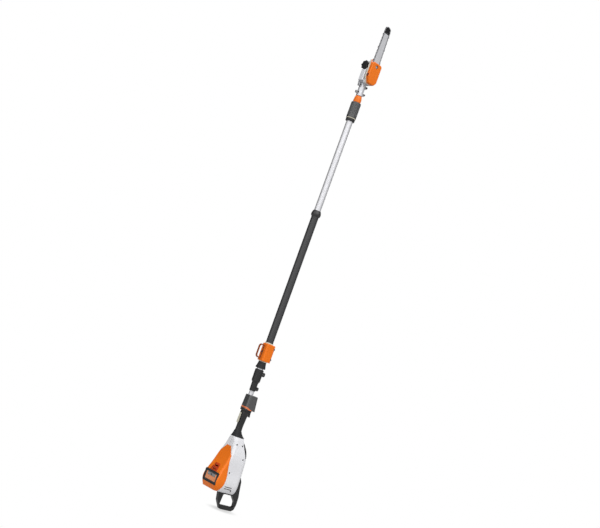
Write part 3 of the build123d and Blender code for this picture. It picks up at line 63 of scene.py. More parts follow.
# camera
shot = {
    "right": (0.71715692, -0.60923365, 0.3384085),
    "up": (-0.33392255, 0.12582133, 0.93416525),
    "back": (-0.61170391, -0.78294531, -0.11320321),
    "place": (-3.11044315, -3.99675315, 0.28187689),
    "lens": 58.4993,
    "sensor": 36.0,
    "far": 400.0,
}


def setCamera():
    data = bpy.data.cameras.new("photoCamera")
    data.sensor_fit = "HORIZONTAL"
    data.sensor_width = shot["sensor"]
    data.lens = shot["lens"]
    data.clip_end = shot["far"]
    cam = bpy.data.objects.new("photoCamera", data)
    bpy.context.scene.collection.objects.link(cam)
    axes = Matrix((shot["right"], shot["up"], shot["back"])).transposed().to_4x4()
    cam.matrix_world = Matrix.Translation(shot["place"]) @ axes
    bpy.context.scene.camera = cam


setCamera()
print("camera set")

# floor, lights and world
studio = {
    "floorSize": 160.0,
    "floorTone": (0.36, 0.36, 0.36, 1.0),
    "floorRough": 0.9,
    "floorCentre": (0.06, -0.02),
    "paintedShadowNear": 0.02,      # metres around the foot where the floor is greyest: painted shadow, with the real shadow falling in it too
    # metres from the foot where the painted shadow has faded to plain white
    "paintedShadowFar": 0.095,
    "paintedShadowWhite": 0.56,      # share of plain white in the floor beside the foot; the rest is grey floor, a painted shadow round the foot
    "ambient": 0.38,
    "suns": {"keySun": {"towards": (-0.15, -0.74, 0.66), "power": 1.75, "angle": 50.0},
             "fillSun": {"towards": (-0.85, -0.30, 0.35), "power": 1.0, "angle": 60.0},
             "backSun": {"towards": (0.62, 0.72, 0.31), "power": 0.9, "angle": 60.0}},
    "flagTone": 0.06,       # brightness of the flags that the gloss reflects
    "flags": {"backFlag": {"place": (-0.30, 5.0, 0.9), "wide": 12.0, "tall": 8.0},
              "rightFlag": {"place": (4.83, -1.00, 0.9), "wide": 3.6, "tall": 8.0}},
}


def backdropRays(nodes, links):  # 1 for the rays that see the plain white backdrop
    seen = nodes.new("ShaderNodeLightPath")
    first = nodes.new("ShaderNodeMath")
    second = nodes.new("ShaderNodeMath")
    first.operation = second.operation = "MAXIMUM"
    links.new(seen.outputs["Is Camera Ray"], first.inputs[0])
    links.new(seen.outputs["Is Glossy Ray"], first.inputs[1])
    links.new(first.outputs[0], second.inputs[0])
    links.new(seen.outputs["Is Transmission Ray"], second.inputs[1])
    return second.outputs[0]


def setFloor():
    low = cadBox[0][2]
    bpy.ops.object.select_all(action="DESELECT")
    bpy.ops.mesh.primitive_plane_add(size=studio["floorSize"], location=(*studio["floorCentre"], low))
    floor = bpy.context.object
    floor.name = "studioFloor"
    mat = bpy.data.materials.new("studioFloor")
    mat.use_nodes = True
    nodes, links = mat.node_tree.nodes, mat.node_tree.links
    shader = nodes["Principled BSDF"]
    shader.inputs["Base Color"].default_value = studio["floorTone"]
    shader.inputs["Roughness"].default_value = studio["floorRough"]
    shader.inputs["Specular IOR Level"].default_value = 0.0
    white = nodes.new("ShaderNodeEmission")
    coord = nodes.new("ShaderNodeTexCoord")
    reach = nodes.new("ShaderNodeVectorMath")
    reach.operation = "LENGTH"
    # the floor greys towards the foot: a painted shadow, and the real shadow shows in its grey share
    fade = nodes.new("ShaderNodeMapRange")
    fade.interpolation_type = "SMOOTHSTEP"
    fade.inputs["From Min"].default_value = studio["paintedShadowNear"]
    fade.inputs["From Max"].default_value = studio["paintedShadowFar"]
    fade.inputs["To Min"].default_value = studio["paintedShadowWhite"]
    share = nodes.new("ShaderNodeMath")
    share.operation = "MULTIPLY"
    blend = nodes.new("ShaderNodeMixShader")
    links.new(coord.outputs["Object"], reach.inputs[0])
    links.new(reach.outputs["Value"], fade.inputs["Value"])
    links.new(backdropRays(nodes, links), share.inputs[0])
    links.new(fade.outputs["Result"], share.inputs[1])
    links.new(share.outputs[0], blend.inputs["Fac"])
    links.new(shader.outputs[0], blend.inputs[1])
    links.new(white.outputs[0], blend.inputs[2])
    links.new(blend.outputs[0], nodes["Material Output"].inputs["Surface"])
    floor.data.materials.append(mat)


def setFlags():  # grey flags that only reflections see, so that round and glossy pieces show their form
    mat = bpy.data.materials.new("studioFlag")
    mat.use_nodes = True
    nodes, links = mat.node_tree.nodes, mat.node_tree.links
    nodes.remove(nodes["Principled BSDF"])
    glow = nodes.new("ShaderNodeEmission")
    glow.inputs["Strength"].default_value = studio["flagTone"]
    links.new(glow.outputs[0], nodes["Material Output"].inputs["Surface"])
    for name, flag in studio["flags"].items():
        bpy.ops.object.select_all(action="DESELECT")
        facing = Vector((flag["place"][0], flag["place"][1], 0.0)).to_track_quat("Z", "Y").to_euler()
        bpy.ops.mesh.primitive_plane_add(size=1.0, location=flag["place"], rotation=facing)
        board = bpy.context.object
        board.name = name
        board.scale = (flag["wide"], flag["tall"], 1.0)
        board.data.materials.append(mat)
        board.visible_camera = False
        board.visible_diffuse = False
        board.visible_shadow = False
        board.visible_transmission = False


def setSuns():
    for name, sun in studio["suns"].items():
        data = bpy.data.lights.new(name, "SUN")
        data.energy = sun["power"]
        data.angle = math.radians(sun["angle"])
        lamp = bpy.data.objects.new(name, data)
        bpy.context.scene.collection.objects.link(lamp)
        lamp.matrix_world = Vector(sun["towards"]).to_track_quat("Z", "Y").to_matrix().to_4x4()


def setWorld():
    world = bpy.data.worlds.new("studioWorld")
    bpy.context.scene.world = world
    world.use_nodes = True
    nodes, links = world.node_tree.nodes, world.node_tree.links
    soft = nodes["Background"]
    soft.inputs["Color"].default_value = (1.0, 1.0, 1.0, 1.0)
    soft.inputs["Strength"].default_value = studio["ambient"]
    white = nodes.new("ShaderNodeBackground")
    white.inputs["Color"].default_value = (1.0, 1.0, 1.0, 1.0)
    blend = nodes.new("ShaderNodeMixShader")
    links.new(backdropRays(nodes, links), blend.inputs["Fac"])
    links.new(soft.outputs[0], blend.inputs[1])
    links.new(white.outputs[0], blend.inputs[2])
    links.new(blend.outputs[0], nodes["World Output"].inputs["Surface"])


setFloor()
setFlags()
setSuns()
setWorld()
bpy.context.scene.view_settings.view_transform = "Standard"
print("studio set")


# shared surface effects
def newGroup(name, inputs, outputs):
    group = bpy.data.node_groups.new(name, "ShaderNodeTree")
    for label, kind in inputs:
        group.interface.new_socket(label, in_out="INPUT", socket_type=kind)
    for label, kind in outputs:
        group.interface.new_socket(label, in_out="OUTPUT", socket_type=kind)
    enter = group.nodes.new("NodeGroupInput")
    leave = group.nodes.new("NodeGroupOutput")
    return group, enter, leave


def noiseIn(group, scale, detail, rough=0.5):
    tex = group.nodes.new("ShaderNodeTexNoise")
    tex.inputs["Scale"].default_value = scale
    tex.inputs["Detail"].default_value = detail
    tex.inputs["Roughness"].default_value = rough
    return tex


# noise settings are scale, detail and roughness
grainSet = {"grit": (900.0, 3.0), "drift": (14.0, 2.0), "wear": (60.0, 6.0, 0.65),
            "wearStretch": (1.0, 2.6, 0.35), "wearFrom": 0.60, "wearTo": 0.74, "pebbleShare": 0.6}


def mouldGrainGroup():  # fine eroded grain of a moulding tool, its slow colour drift and rubbed streaks
    group, enter, leave = newGroup("mouldGrain", [("Vector", "NodeSocketVector"),
                                                  ("Grain Size", "NodeSocketFloat")],
                                   [(n, "NodeSocketFloat") for n in ("Height", "Drift", "Scuff")])
    links = group.links
    pebble = group.nodes.new("ShaderNodeTexVoronoi")
    pebble.feature = "SMOOTH_F1"
    grit = noiseIn(group, *grainSet["grit"])
    drift = noiseIn(group, *grainSet["drift"])
    wear = noiseIn(group, *grainSet["wear"])
    stretch = group.nodes.new("ShaderNodeVectorMath")
    stretch.operation = "MULTIPLY"
    stretch.inputs[1].default_value = grainSet["wearStretch"]
    both = group.nodes.new("ShaderNodeMath")
    both.operation = "MULTIPLY_ADD"
    both.inputs[1].default_value = grainSet["pebbleShare"]
    pick = group.nodes.new("ShaderNodeMapRange")
    pick.inputs["From Min"].default_value = grainSet["wearFrom"]
    pick.inputs["From Max"].default_value = grainSet["wearTo"]
    links.new(enter.outputs["Vector"], pebble.inputs["Vector"])
    links.new(enter.outputs["Grain Size"], pebble.inputs["Scale"])
    links.new(enter.outputs["Vector"], grit.inputs["Vector"])
    links.new(enter.outputs["Vector"], drift.inputs["Vector"])
    links.new(enter.outputs["Vector"], stretch.inputs[0])
    links.new(stretch.outputs[0], wear.inputs["Vector"])
    links.new(pebble.outputs["Distance"], both.inputs[0])
    links.new(grit.outputs["Fac"], both.inputs[2])
    links.new(wear.outputs["Fac"], pick.inputs["Value"])
    links.new(both.outputs[0], leave.inputs["Height"])
    links.new(drift.outputs["Fac"], leave.inputs["Drift"])
    links.new(pick.outputs["Result"], leave.inputs["Scuff"])
    return group


linesSet = {"fine": (1.0, 4.0), "coarse": (0.25, 2.0), "bloom": (22.0, 4.0)}


def drawnLinesGroup():  # fine lines left along the direction of drawing or grinding
    group, enter, leave = newGroup("drawnLines", [("Vector", "NodeSocketVector"),
                                                  ("Line Scale", "NodeSocketVector")],
                                   [(n, "NodeSocketFloat") for n in ("Height", "Streak", "Bloom")])
    links = group.links
    stretch = group.nodes.new("ShaderNodeVectorMath")
    stretch.operation = "MULTIPLY"
    fine = noiseIn(group, *linesSet["fine"])
    coarse = noiseIn(group, *linesSet["coarse"])
    bloom = noiseIn(group, *linesSet["bloom"])
    links.new(enter.outputs["Vector"], stretch.inputs[0])
    links.new(enter.outputs["Line Scale"], stretch.inputs[1])
    links.new(stretch.outputs[0], fine.inputs["Vector"])
    links.new(stretch.outputs[0], coarse.inputs["Vector"])
    links.new(enter.outputs["Vector"], bloom.inputs["Vector"])
    links.new(fine.outputs["Fac"], leave.inputs["Height"])
    links.new(coarse.outputs["Fac"], leave.inputs["Streak"])
    links.new(bloom.outputs["Fac"], leave.inputs["Bloom"])
    return group


edgeSet = {"samples": 6, "rubFrom": 0.985, "rubTo": 0.86}


def softEdgeGroup():  # rounded corners of a casting or moulding, and where those corners rub bright
    group, enter, leave = newGroup("softEdge", [("Radius", "NodeSocketFloat")],
                                   [("Normal", "NodeSocketVector"), ("Rub", "NodeSocketFloat")])
    links = group.links
    bevel = group.nodes.new("ShaderNodeBevel")
    bevel.samples = edgeSet["samples"]
    face = group.nodes.new("ShaderNodeNewGeometry")
    match = group.nodes.new("ShaderNodeVectorMath")
    match.operation = "DOT_PRODUCT"
    rub = group.nodes.new("ShaderNodeMapRange")
    rub.inputs["From Min"].default_value = edgeSet["rubFrom"]
    rub.inputs["From Max"].default_value = edgeSet["rubTo"]
    links.new(enter.outputs["Radius"], bevel.inputs["Radius"])
    links.new(bevel.outputs["Normal"], match.inputs[0])
    links.new(face.outputs["Normal"], match.inputs[1])
    links.new(match.outputs["Value"], rub.inputs["Value"])
    links.new(bevel.outputs["Normal"], leave.inputs["Normal"])
    links.new(rub.outputs["Result"], leave.inputs["Rub"])
    return group


bandSoft = 0.0003   # width over which a band's edge fades


def bandMaskGroup():  # a band across a piece, square to a direction
    group, enter, leave = newGroup("bandMask", [("Vector", "NodeSocketVector"),
                                                ("Direction", "NodeSocketVector"),
                                                ("Centre", "NodeSocketFloat"),
                                                ("Half Width", "NodeSocketFloat")],
                                   [("Mask", "NodeSocketFloat")])
    links = group.links
    along = group.nodes.new("ShaderNodeVectorMath")
    along.operation = "DOT_PRODUCT"
    offset = group.nodes.new("ShaderNodeMath")
    offset.operation = "SUBTRACT"
    away = group.nodes.new("ShaderNodeMath")
    away.operation = "ABSOLUTE"
    rim = group.nodes.new("ShaderNodeMath")
    rim.operation = "ADD"
    rim.inputs[1].default_value = bandSoft
    edge = group.nodes.new("ShaderNodeMapRange")
    edge.inputs["To Min"].default_value = 1.0
    edge.inputs["To Max"].default_value = 0.0
    links.new(enter.outputs["Vector"], along.inputs[0])
    links.new(enter.outputs["Direction"], along.inputs[1])
    links.new(along.outputs["Value"], offset.inputs[0])
    links.new(enter.outputs["Centre"], offset.inputs[1])
    links.new(offset.outputs[0], away.inputs[0])
    links.new(away.outputs[0], edge.inputs["Value"])
    links.new(enter.outputs["Half Width"], edge.inputs["From Min"])
    links.new(enter.outputs["Half Width"], rim.inputs[0])
    links.new(rim.outputs[0], edge.inputs["From Max"])
    links.new(edge.outputs["Result"], leave.inputs["Mask"])
    return group


mouldGrain = mouldGrainGroup()
drawnLines = drawnLinesGroup()
softEdge = softEdgeGroup()
bandMask = bandMaskGroup()
print("surface effects built")


# materials
def startMaterial(name):
    mat = bpy.data.materials.new(name)
    mat.use_nodes = True
    nodes, links = mat.node_tree.nodes, mat.node_tree.links
    coord = nodes.new("ShaderNodeTexCoord")
    return mat, nodes, links, nodes["Principled BSDF"], coord.outputs["Object"]


def placeGroup(nodes, links, group, vector=None):
    node = nodes.new("ShaderNodeGroup")
    node.node_tree = group
    if vector is not None:
        links.new(vector, node.inputs["Vector"])
    return node


def mixTone(nodes, links, factor, first, second):
    mix = nodes.new("ShaderNodeMix")
    mix.data_type = "RGBA"
    links.new(factor, mix.inputs["Factor"])
    for socket, value in ((mix.inputs["A"], first), (mix.inputs["B"], second)):
        if isinstance(value, tuple):
            socket.default_value = value
        else:
            links.new(value, socket)
    return mix.outputs["Result"]


def mapValue(nodes, links, value, low, high):
    span = nodes.new("ShaderNodeMapRange")
    span.inputs["To Min"].default_value = low
    span.inputs["To Max"].default_value = high
    links.new(value, span.inputs["Value"])
    return span.outputs["Result"]


def bumpFrom(nodes, links, height, depth, strength, normal):
    bump = nodes.new("ShaderNodeBump")
    bump.inputs["Distance"].default_value = depth
    bump.inputs["Strength"].default_value = strength
    links.new(height, bump.inputs["Height"])
    links.new(normal, bump.inputs["Normal"])
    return bump.outputs["Normal"]


def paintBands(nodes, links, where, base, bands):  # lays each band's tone over the colour, first band lowest
    for band in bands:
        mask = placeGroup(nodes, links, bandMask, where)
        mask.inputs["Direction"].default_value = band["along"]
        mask.inputs["Centre"].default_value = band["centre"]
        mask.inputs["Half Width"].default_value = band["half"]
        base = mixTone(nodes, links, mask.outputs["Mask"], base, band["tone"])
    return base


plasticSet = {"corner": 0.0012, "rub": 0.35, "roughSwing": 0.06, "bump": 0.00006}


def mouldedPlastic(name, look):
    mat, nodes, links, shader, where = startMaterial(name)
    grain = placeGroup(nodes, links, mouldGrain, where)
    grain.inputs["Grain Size"].default_value = look["grain"]
    corner = placeGroup(nodes, links, softEdge)
    corner.inputs["Radius"].default_value = look.get("corner", plasticSet["corner"])
    base = mixTone(nodes, links, grain.outputs["Drift"], look["tone"], look["drift"])
    base = paintBands(nodes, links, where, base, look.get("bands", ()))
    scuff = mapValue(nodes, links, grain.outputs["Scuff"], 0.0, look["scuff"])
    worn = mixTone(nodes, links, scuff, base, look["worn"])
    rub = mapValue(nodes, links, corner.outputs["Rub"], 0.0, plasticSet["rub"])
    rubbed = mixTone(nodes, links, rub, worn, look.get("edge", look["worn"]))
    rough = mapValue(nodes, links, grain.outputs["Drift"], look["rough"] - plasticSet["roughSwing"],
                     look["rough"] + plasticSet["roughSwing"])
    normal = bumpFrom(nodes, links, grain.outputs["Height"], plasticSet["bump"], look["depth"],
                      corner.outputs["Normal"])
    links.new(rubbed, shader.inputs["Base Color"])
    links.new(rough, shader.inputs["Roughness"])
    links.new(normal, shader.inputs["Normal"])
    shader.inputs["Specular IOR Level"].default_value = look["gloss"]
    return mat


metalSet = {"corner": 0.0003, "roughSwing": 0.07, "bump": 0.00004}


def workedMetal(name, look):
    mat, nodes, links, shader, where = startMaterial(name)
    lines = placeGroup(nodes, links, drawnLines, where)
    lines.inputs["Line Scale"].default_value = look["lines"]
    corner = placeGroup(nodes, links, softEdge)
    corner.inputs["Radius"].default_value = look.get("corner", metalSet["corner"])
    base = mixTone(nodes, links, lines.outputs["Streak"], look["tone"], look["streak"])
    haze = mapValue(nodes, links, lines.outputs["Bloom"], 0.0, look["haze"])
    hazed = mixTone(nodes, links, haze, base, look["bloom"])
    banded = paintBands(nodes, links, where, hazed, look.get("bands", ()))
    rough = mapValue(nodes, links, lines.outputs["Bloom"], look["rough"] - metalSet["roughSwing"],
                     look["rough"] + metalSet["roughSwing"])
    normal = bumpFrom(nodes, links, lines.outputs["Height"], metalSet["bump"], look["depth"],
                      corner.outputs["Normal"])
    links.new(banded, shader.inputs["Base Color"])
    links.new(rough, shader.inputs["Roughness"])
    links.new(normal, shader.inputs["Normal"])
    shader.inputs["Metallic"].default_value = look["metal"]
    return mat


# stripe across the guard, falling to the trigger side, with a darker band below it that paints shade under
# the stripe
stripe = {"slope": (0.30, 0.0, 1.0), "height": 0.0622, "half": 0.0036, "shadeBandHalf": 0.05}
plasticLooks = {
    "white_plastic": {"tone": tone(228, 228, 232), "drift": tone(233, 233, 236), "worn": tone(206, 206, 210),
                      "scuff": 0.2, "rough": 0.42, "grain": 1300.0, "depth": 0.22, "gloss": 0.3,
                      "corner": 0.003, "edge": tone(240, 240, 242)},
    "orange_plastic": {"tone": tone(241, 116, 10), "drift": tone(246, 124, 16), "worn": tone(224, 98, 16),
                       "scuff": 0.3, "rough": 0.38, "grain": 1300.0, "depth": 0.22, "gloss": 0.3,
                       "corner": 0.0025, "edge": tone(252, 150, 60)},
    "rust_plastic": {"tone": tone(184, 56, 10), "drift": tone(194, 66, 14), "worn": tone(150, 46, 14),
                     "scuff": 0.3, "rough": 0.42, "grain": 1200.0, "depth": 0.3, "gloss": 0.3},
    "black_plastic": {"tone": tone(20, 20, 21), "drift": tone(25, 25, 26), "worn": tone(46, 46, 48),
                      "scuff": 0.3, "rough": 0.36, "grain": 900.0, "depth": 0.5, "gloss": 0.36,
                      "edge": tone(92, 92, 95)},
    "grey_plastic": {"tone": tone(48, 49, 51), "drift": tone(56, 57, 59), "worn": tone(80, 81, 84),
                     "scuff": 0.3, "rough": 0.44, "grain": 1000.0, "depth": 0.4, "gloss": 0.25,
                     "edge": tone(120, 121, 124)},
    "pale_plastic": {"tone": tone(214, 208, 186), "drift": tone(222, 216, 196), "worn": tone(186, 180, 164),
                     "scuff": 0.3, "rough": 0.42, "grain": 1200.0, "depth": 0.3, "gloss": 0.35},
    "tank_plastic": {"tone": tone(224, 225, 230), "drift": tone(231, 231, 235), "worn": tone(206, 206, 210),
                     "scuff": 0.25, "rough": 0.36, "grain": 1200.0, "depth": 0.22, "gloss": 0.35},
    "soft_rubber": {"tone": tone(34, 34, 36), "drift": tone(42, 42, 44), "worn": tone(62, 62, 64),
                    "scuff": 0.35, "rough": 0.58, "grain": 700.0, "depth": 0.6, "gloss": 0.2,
                    "edge": tone(84, 84, 87)},
    "circuit_board": {"tone": tone(24, 92, 52), "drift": tone(30, 104, 60), "worn": tone(60, 120, 80),
                      "scuff": 0.2, "rough": 0.3, "grain": 800.0, "depth": 0.2, "gloss": 0.5},
    "hoseRubber": {"tone": tone(36, 36, 38), "drift": tone(44, 44, 46), "worn": tone(58, 58, 60),
                   "scuff": 0.3, "rough": 0.40, "grain": 520.0, "depth": 0.6, "gloss": 0.52,
                   "edge": tone(20, 20, 22),
                   "bands": [{"along": (0.0, 0.0, 1.0), "centre": 1.150, "half": 0.0304,
                              "tone": tone(22, 22, 24)}]},
    "guardShell": {"tone": tone(44, 45, 46), "drift": tone(52, 53, 54), "worn": tone(72, 73, 74),
                   "scuff": 0.35, "rough": 0.38, "grain": 760.0, "depth": 0.6, "gloss": 0.9, "corner": 0.003,
                   "edge": tone(112, 113, 115),
                   # darker band under the stripe: painted shade
                   "bands": [{"along": stripe["slope"], "centre": stripe["height"] - stripe["shadeBandHalf"],
                              "half": stripe["shadeBandHalf"], "tone": tone(24, 23, 26)},
                             {"along": stripe["slope"], "centre": stripe["height"], "half": stripe["half"],
                              "tone": tone(236, 116, 44)}]},
    "coverShell": {"tone": tone(241, 116, 8), "drift": tone(247, 126, 14), "worn": tone(222, 96, 14),
                   "scuff": 0.35, "rough": 0.36, "grain": 1300.0, "depth": 0.22, "gloss": 0.3,
                   "corner": 0.003, "edge": tone(252, 152, 66),
                   "bands": [{"along": (0.0, 1.0, 0.0), "centre": -0.030, "half": 0.0135,
                              "tone": tone(234, 226, 210)}]},
    "bracketShell": {"tone": tone(241, 116, 10), "drift": tone(246, 124, 16), "worn": tone(224, 98, 16),
                     "scuff": 0.3, "rough": 0.38, "grain": 1300.0, "depth": 0.22, "gloss": 0.3,
                     "corner": 0.0025, "edge": tone(250, 140, 52),
                     # darker brown over the loop: painted shade on the loop's side away from the light
                     "bands": [{"along": (1.0, 0.0, 0.0), "centre": -0.0425, "half": 0.0180,
                                "tone": tone(136, 62, 20)}]},
    "sleeveShell": {"tone": tone(44, 45, 46), "drift": tone(52, 53, 54), "worn": tone(72, 73, 74),
                    "scuff": 0.35, "rough": 0.34, "grain": 760.0, "depth": 0.5, "gloss": 0.72,
                    "edge": tone(112, 113, 115)},
    "leverShell": {"tone": tone(206, 202, 182), "drift": tone(214, 210, 192), "worn": tone(182, 178, 162),
                   "scuff": 0.3, "rough": 0.42, "grain": 1200.0, "depth": 0.3, "gloss": 0.3,
                   "bands": [{"along": (1.0, 0.0, 0.0), "centre": -0.0110, "half": 0.0098,
                              "tone": tone(40, 39, 38)}]},
    "portRim": {"tone": tone(122, 26, 8), "drift": tone(132, 32, 10), "worn": tone(104, 22, 8),
                "scuff": 0.3, "rough": 0.40, "grain": 1300.0, "depth": 0.2, "gloss": 0.3},
    "labelFilm": {"tone": tone(234, 142, 86), "drift": tone(240, 156, 104), "worn": tone(218, 124, 72),
                  "scuff": 0.3, "rough": 0.34, "grain": 1500.0, "depth": 0.1, "gloss": 0.4},
    "panelFilm": {"tone": tone(122, 122, 124), "drift": tone(134, 134, 136), "worn": tone(104, 104, 106),
                  "scuff": 0.3, "rough": 0.36, "grain": 1500.0, "depth": 0.1, "gloss": 0.4},
    "lampLens": {"tone": tone(196, 214, 196), "drift": tone(206, 222, 206), "worn": tone(180, 196, 180),
                 "scuff": 0.1, "rough": 0.18, "grain": 1500.0, "depth": 0.05, "gloss": 0.5},
}
metalLooks = {
    "tube_aluminium": {"tone": tone(200, 200, 203), "streak": tone(208, 208, 211),
                       "bloom": tone(192, 192, 196), "haze": 0.5, "rough": 0.44, "metal": 0.6,
                       "lines": (700.0, 700.0, 5.0), "depth": 0.2},
    "cast_alloy": {"tone": tone(206, 207, 212), "streak": tone(214, 215, 220), "bloom": tone(194, 195, 200),
                   "haze": 0.6, "rough": 0.42, "metal": 0.4, "lines": (420.0, 420.0, 420.0), "depth": 0.5,
                   "corner": 0.0015},
    "bar_steel": {"tone": tone(196, 196, 199), "streak": tone(212, 212, 215), "bloom": tone(168, 169, 172),
                  "haze": 0.8, "rough": 0.36, "metal": 0.85, "lines": (900.0, 900.0, 8.0), "depth": 0.25,
                  "bands": [{"along": (0.0, 0.0, 1.0), "centre": 2.2250, "half": 0.0500,
                             "tone": tone(30, 30, 32)}]},
    "chain_steel": {"tone": tone(112, 112, 115), "streak": tone(140, 140, 143), "bloom": tone(74, 74, 77),
                    "haze": 0.7, "rough": 0.36, "metal": 1.0, "lines": (800.0, 800.0, 300.0), "depth": 0.3,
                    "bands": [{"along": (0.0, 0.0, 1.0), "centre": 2.2290, "half": 0.0500,
                               "tone": tone(44, 44, 46)}]},
    "steel": {"tone": tone(182, 183, 186), "streak": tone(198, 199, 202), "bloom": tone(160, 161, 164),
              "haze": 0.6, "rough": 0.30, "metal": 1.0, "lines": (900.0, 900.0, 60.0), "depth": 0.25},
    "screw_steel": {"tone": tone(96, 95, 95), "streak": tone(112, 111, 110), "bloom": tone(76, 75, 75),
                    "haze": 0.6, "rough": 0.42, "metal": 0.9, "lines": (900.0, 900.0, 900.0), "depth": 0.3},
    "bronze": {"tone": tone(170, 124, 70), "streak": tone(188, 142, 84), "bloom": tone(140, 100, 56),
               "haze": 0.6, "rough": 0.42, "metal": 1.0, "lines": (600.0, 600.0, 600.0), "depth": 0.4},
    "copper": {"tone": tone(184, 104, 58), "streak": tone(204, 122, 72), "bloom": tone(150, 84, 48),
               "haze": 0.6, "rough": 0.32, "metal": 1.0, "lines": (300.0, 300.0, 1500.0), "depth": 0.5},
    "capAlloy": {"tone": tone(132, 131, 132), "streak": tone(144, 143, 144), "bloom": tone(116, 115, 116),
                 "haze": 0.6, "rough": 0.42, "metal": 0.4, "lines": (420.0, 420.0, 420.0), "depth": 0.5,
                 "corner": 0.0015,
                 "bands": [{"along": (1.0, 0.0, 0.0), "centre": 0.0, "half": 0.0150,
                            "tone": tone(206, 207, 212)}]},
    "nutSteel": {"tone": tone(150, 146, 142), "streak": tone(164, 160, 156), "bloom": tone(128, 124, 120),
                 "haze": 0.6, "rough": 0.40, "metal": 0.8, "lines": (900.0, 900.0, 60.0), "depth": 0.25},
}
finishes = {name: mouldedPlastic(name, look) for name, look in plasticLooks.items()}
finishes.update({name: workedMetal(name, look) for name, look in metalLooks.items()})
# nodes with a finish of their own; the rest take the look of their slot
ownFinish = {"guard": "guardShell", "guard_band": "guardShell", "neck_cap": "capAlloy",
             "clamp_sleeve": "sleeveShell", "harness_bracket": "bracketShell",
             "sprocket_cover": "coverShell", "cover_nut": "nutSteel", "lock_lever": "leverShell"}
for part in frame["record"]["subparts"]:
    mesh = frame["nodes"][part["node"]].data
    mesh.materials.clear()
    mesh.materials.append(finishes[ownFinish.get(part["node"], part["material_slot"])])
print("finishes set:", len(finishes))


# modelling moves, with angles in degrees and lengths in metres
moves = {"edgeLeast": 0.0008, "level": 0.00001, "upright": 0.9, "easeAngle": 40.0, "merge": 0.000005,
         "smoothAngle": 35.0, "ringSides": 96}


def clearPick():
    bpy.ops.object.select_all(action="DESELECT")


def blockAt(name, low, high, tilt=0.0):  # a block between two corners, tilted about Y through its middle
    clearPick()
    middle = [(a + b) / 2 for a, b in zip(low, high)]
    bpy.ops.mesh.primitive_cube_add(size=1.0, location=middle, rotation=(0.0, tilt, 0.0))
    block = bpy.context.object
    block.name = block.data.name = name
    block.scale = [b - a for a, b in zip(low, high)]
    bpy.ops.object.transform_apply(location=True, rotation=True, scale=True)
    return block


turns = {"X": (0.0, math.pi / 2, 0.0), "Y": (math.pi / 2, 0.0, 0.0), "Z": (0.0, 0.0, 0.0)}


def roundAt(name, centre, radius, depth, axis, sides):
    clearPick()
    bpy.ops.mesh.primitive_cylinder_add(vertices=sides, radius=radius, depth=depth, location=centre,
                                        rotation=turns[axis])
    piece = bpy.context.object
    piece.name = piece.data.name = name
    bpy.ops.object.transform_apply(location=True, rotation=True, scale=True)
    return piece


def hold(piece):
    clearPick()
    piece.select_set(True)
    bpy.context.view_layer.objects.active = piece


def alongX(a, b):
    return abs(a.x - b.x) > moves["edgeLeast"]


def alongY(a, b):
    return abs(a.y - b.y) > moves["edgeLeast"]


def alongZ(a, b):
    return abs(a.z - b.z) > moves["edgeLeast"]


def pickEdges(piece, test):  # leaves the piece in edit mode with the edges that pass the test picked
    hold(piece)
    bpy.ops.object.mode_set(mode="EDIT")
    bpy.ops.mesh.select_mode(type="EDGE")
    bpy.ops.mesh.select_all(action="DESELECT")
    bpy.ops.object.mode_set(mode="OBJECT")
    spots = piece.data.vertices
    for edge in piece.data.edges:
        edge.select = test(spots[edge.vertices[0]].co, spots[edge.vertices[1]].co)
    bpy.ops.object.mode_set(mode="EDIT")


def pickTop(piece):  # leaves the piece in edit mode with its highest level faces picked
    hold(piece)
    bpy.ops.object.mode_set(mode="EDIT")
    bpy.ops.mesh.select_mode(type="FACE")
    bpy.ops.mesh.select_all(action="DESELECT")
    bpy.ops.object.mode_set(mode="OBJECT")
    top = max(face.center.z for face in piece.data.polygons)
    for face in piece.data.polygons:
        face.select = face.normal.z > moves["upright"] and face.center.z > top - moves["level"]
    bpy.ops.object.mode_set(mode="EDIT")


def riseTo(shift, share, centre):  # extrudes the picked face by a shift, then scales it about a centre
    bpy.ops.mesh.extrude_region_move(TRANSFORM_OT_translate={"value": shift})
    bpy.ops.transform.resize(value=share, center_override=centre)


def turnedPiece(name, profile, bore):  # a round piece raised over levels of height and radius
    (low, radius), (high, _) = profile[:2]
    piece = roundAt(name, (0.0, 0.0, (low + high) / 2), radius, high - low, "Z", moves["ringSides"])
    pickTop(piece)
    for (z, r), (nextZ, nextR) in zip(profile[1:], profile[2:]):
        riseTo((0.0, 0.0, nextZ - z), (nextR / r, nextR / r, 1.0), (0.0, 0.0, nextZ))
    bpy.ops.object.mode_set(mode="OBJECT")
    top = profile[-1][0]
    middle, long = (0.0, 0.0, (low + top) / 2), 2 * (top - low)  # well past both ends of the piece
    cutOut(piece, roundAt(name + "Bore", middle, bore, long, "Z", moves["ringSides"]))
    return piece


def roundEdges(piece, test, radius, steps):
    pickEdges(piece, test)
    bpy.ops.mesh.bevel(offset=radius, segments=steps, affect="EDGES")
    bpy.ops.object.mode_set(mode="OBJECT")


def useModifier(piece, kind, settings):
    hold(piece)
    step = piece.modifiers.new(kind.lower(), kind)
    for key, value in settings.items():
        setattr(step, key, value)
    bpy.ops.object.modifier_apply(modifier=step.name)


def cutOut(piece, cutter):
    useModifier(piece, "BOOLEAN", {"operation": "DIFFERENCE", "solver": "EXACT", "object": cutter})
    bpy.data.objects.remove(cutter, do_unlink=True)


def easeEdges(piece, radius, steps=2):
    useModifier(piece, "BEVEL", {"width": radius, "segments": steps, "limit_method": "ANGLE",
                                 "angle_limit": math.radians(moves["easeAngle"])})


